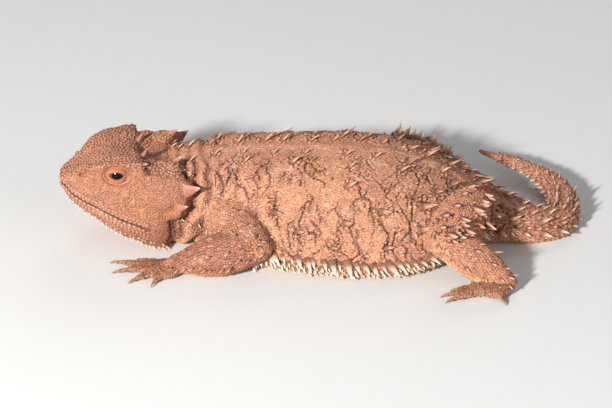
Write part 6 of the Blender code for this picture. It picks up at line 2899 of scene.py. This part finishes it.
@dataclass(frozen=True)
class EyeFinish:
    """The wet eye: a black pupil in a red-brown iris with a thin pale ring."""

    pupil: Color = (0.004, 0.003, 0.003)
    iris: Color = (0.085, 0.022, 0.012)
    rim: Color = (0.200, 0.055, 0.022)

    def build(self) -> bpy.types.Material:
        """Mix the iris's colours and set the pupil in it.

        Returns:
            The material of the eyeballs.
        """
        shader = Shader("wet_eye")
        reach = shader.attribute("pupil")
        streak = shader.noise(0.25, 3.0)
        iris = shader.mix(streak, self.iris, self.rim)
        color = shader.mix(reach.step(0.94, 1.04), self.pupil, iris)
        shader.surface.inputs["Specular IOR Level"].default_value = 0.12
        return shader.finish(color, 0.09, coat=0.03)


@dataclass(frozen=True)
class HornFinish:
    """Dry horn, pinkish at the root and pale at the tip."""

    name: str = "dry_horn"
    root: Color = (0.370, 0.140, 0.085)
    tip: Color = (0.700, 0.500, 0.390)
    stain: Color = (0.260, 0.100, 0.062)

    def build(self) -> bpy.types.Material:
        """Mix root and tip colours and a stain.

        Returns:
            The material of horns or claws.
        """
        shader = Shader(self.name)
        share = shader.attribute("share")
        color = shader.mix(share.step(0.82, 1.06), self.root, self.tip)
        stain = shader.noise(0.8, 4.0, 5.0).step(0.5, 0.75)
        color = shader.mix(stain * 0.45, color, self.stain)
        return shader.finish(color, 0.55, bump=shader.noise(0.15, 3.0), depth=0.08)


@dataclass(frozen=True)
class Lamp:
    """A round soft light.

    Attributes:
        name: Its name.
        spot: Its place from the point that the camera looks at, in metres.
        size: Its width in metres.
        power: Its power in watts.
    """

    name: str
    spot: Spot
    size: float
    power: float


@dataclass
class Studio:
    """The floor, the lights and the camera.

    Attributes:
        floor_size: Length of the floor's edge in metres.
        floor_color: The floor's colour.
        sky_color: The colour of the surroundings.
        sky_strength: Their brightness.
        lamps: The lights.
        distance: How far the camera stands from its aim, in metres.
        elevation: How high it stands, in degrees.
        lens: Its focal length in millimetres.
        sensor: The width of its sensor in millimetres.
        aim: The point that it looks at, in the lizard's frame.
    """

    floor_size: float = 1.6
    floor_color: Color = (0.70, 0.685, 0.66)
    sky_color: Color = (0.90, 0.93, 1.0)
    sky_strength: float = 0.28
    lamps: tuple[Lamp, ...] = (Lamp("key", (-0.29, -0.50, 0.28), 0.06, 7.0),
                               Lamp("fill", (0.45, -0.40, 0.25), 0.5, 0.7),
                               Lamp("back", (0.10, 0.55, 0.40), 0.4, 0.8))
    distance: float = 0.69
    elevation: float = 29.0
    lens: float = 200.0
    sensor: float = 36.0
    aim: Spot = (0.0, 0.0, 4.83)

    def build(self) -> None:
        """Make the pale floor, three soft lights, the pale surroundings and the camera."""
        floor = Shader("pale_floor").finish(self.floor_color, 0.85)
        half = self.floor_size / 2 / MM
        corners = np.array(((-half, -half, 0), (half, -half, 0), (half, half, 0), (-half, half, 0)))
        plane = new_object("floor", corners, np.array(((0, 1, 2, 3),)))
        plane.data.materials.append(floor)
        plane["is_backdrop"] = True
        world = bpy.data.worlds.new("surroundings")
        bpy.context.scene.world = world
        bpy.context.scene.view_settings.view_transform = "Standard"
        world.use_nodes = True
        background = next(n for n in world.node_tree.nodes if n.type == "BACKGROUND")
        background.inputs["Color"].default_value = (*self.sky_color, 1.0)
        background.inputs["Strength"].default_value = self.sky_strength
        middle = Vector((self.aim + SHIFT) * MM)
        for lamp in self.lamps:
            light = bpy.data.lights.new(lamp.name, "AREA")
            light.shape, light.size, light.energy = "DISK", lamp.size, lamp.power
            self.put(lamp.name, light, middle, Vector(lamp.spot))
        tilt = math.radians(self.elevation)
        back = Vector((0.0, -math.cos(tilt), math.sin(tilt)))
        camera = bpy.data.cameras.new("photo_view")
        camera.lens, camera.sensor_width, camera.clip_start = self.lens, self.sensor, 0.01
        view = self.put("photo_view", camera, middle, back * self.distance, back)
        bpy.context.scene.camera = view

    @staticmethod
    def put(name: str, data: bpy.types.ID, middle: Vector, offset: Vector,
            back: Vector | None = None) -> bpy.types.Object:
        """Place a light or the camera so that it looks at the middle.

        Args:
            name: Its name.
            data: The light or the camera.
            middle: The point that it looks at, in metres.
            offset: Its place from there.
            back: The direction from the middle to it, where that isn't the offset's.

        Returns:
            The new object.
        """
        obj = bpy.data.objects.new(name, data)
        obj.location = middle + offset
        obj.rotation_euler = (back or offset).to_track_quat("Z", "Y").to_euler()
        bpy.context.scene.collection.objects.link(obj)
        return obj


def main() -> None:
    """Build the skin, the coat, lids, eyes, horns and claws, then the studio."""
    logging.basicConfig(level=logging.INFO, format="%(name)s: %(message)s")
    finish = SkinFinish().build()
    skin = Skin().build()
    mesh = skin.data
    crease = get_attribute(mesh, "crease")
    mesh.materials.clear()
    # The bare skin between the scales gets painted shade from a low grain and a low lift, less of
    # it round the eyes.
    dress(skin, finish, "body_skin", tone=np.column_stack([0 * crease, 0 * crease - 0.6, crease]),
          lift=0.58 + 0.25 * get_attribute(mesh, "mask_eye"))
    legs = [f"{leg.side.word}_{name}" for leg in LEGS for name in leg.names]
    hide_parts("head", "neck", "torso", "tail_base", "tail_bend", "tail_middle",
                "tail_tip", *legs)
    for kind in (ScaleCoat, Lids, Nostrils):
        kind(skin, finish).build()
    Eyes(EyeFinish().build()).build()
    horn = HornFinish().build()
    crown = HornFinish("crown_horn", (0.30, 0.115, 0.066), (0.42, 0.19, 0.12)).build()
    Horns(horn, crown).build()
    Claws(HornFinish("claw_horn", (0.30, 0.15, 0.08), (0.45, 0.28, 0.17)).build()).build()
    Studio().build()
    boxes = [[list(map(float, corner)) for corner in box] for box in (CAD_BOX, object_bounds())]
    LOG.info("boxes written")


if __name__ == "__main__":
    main()
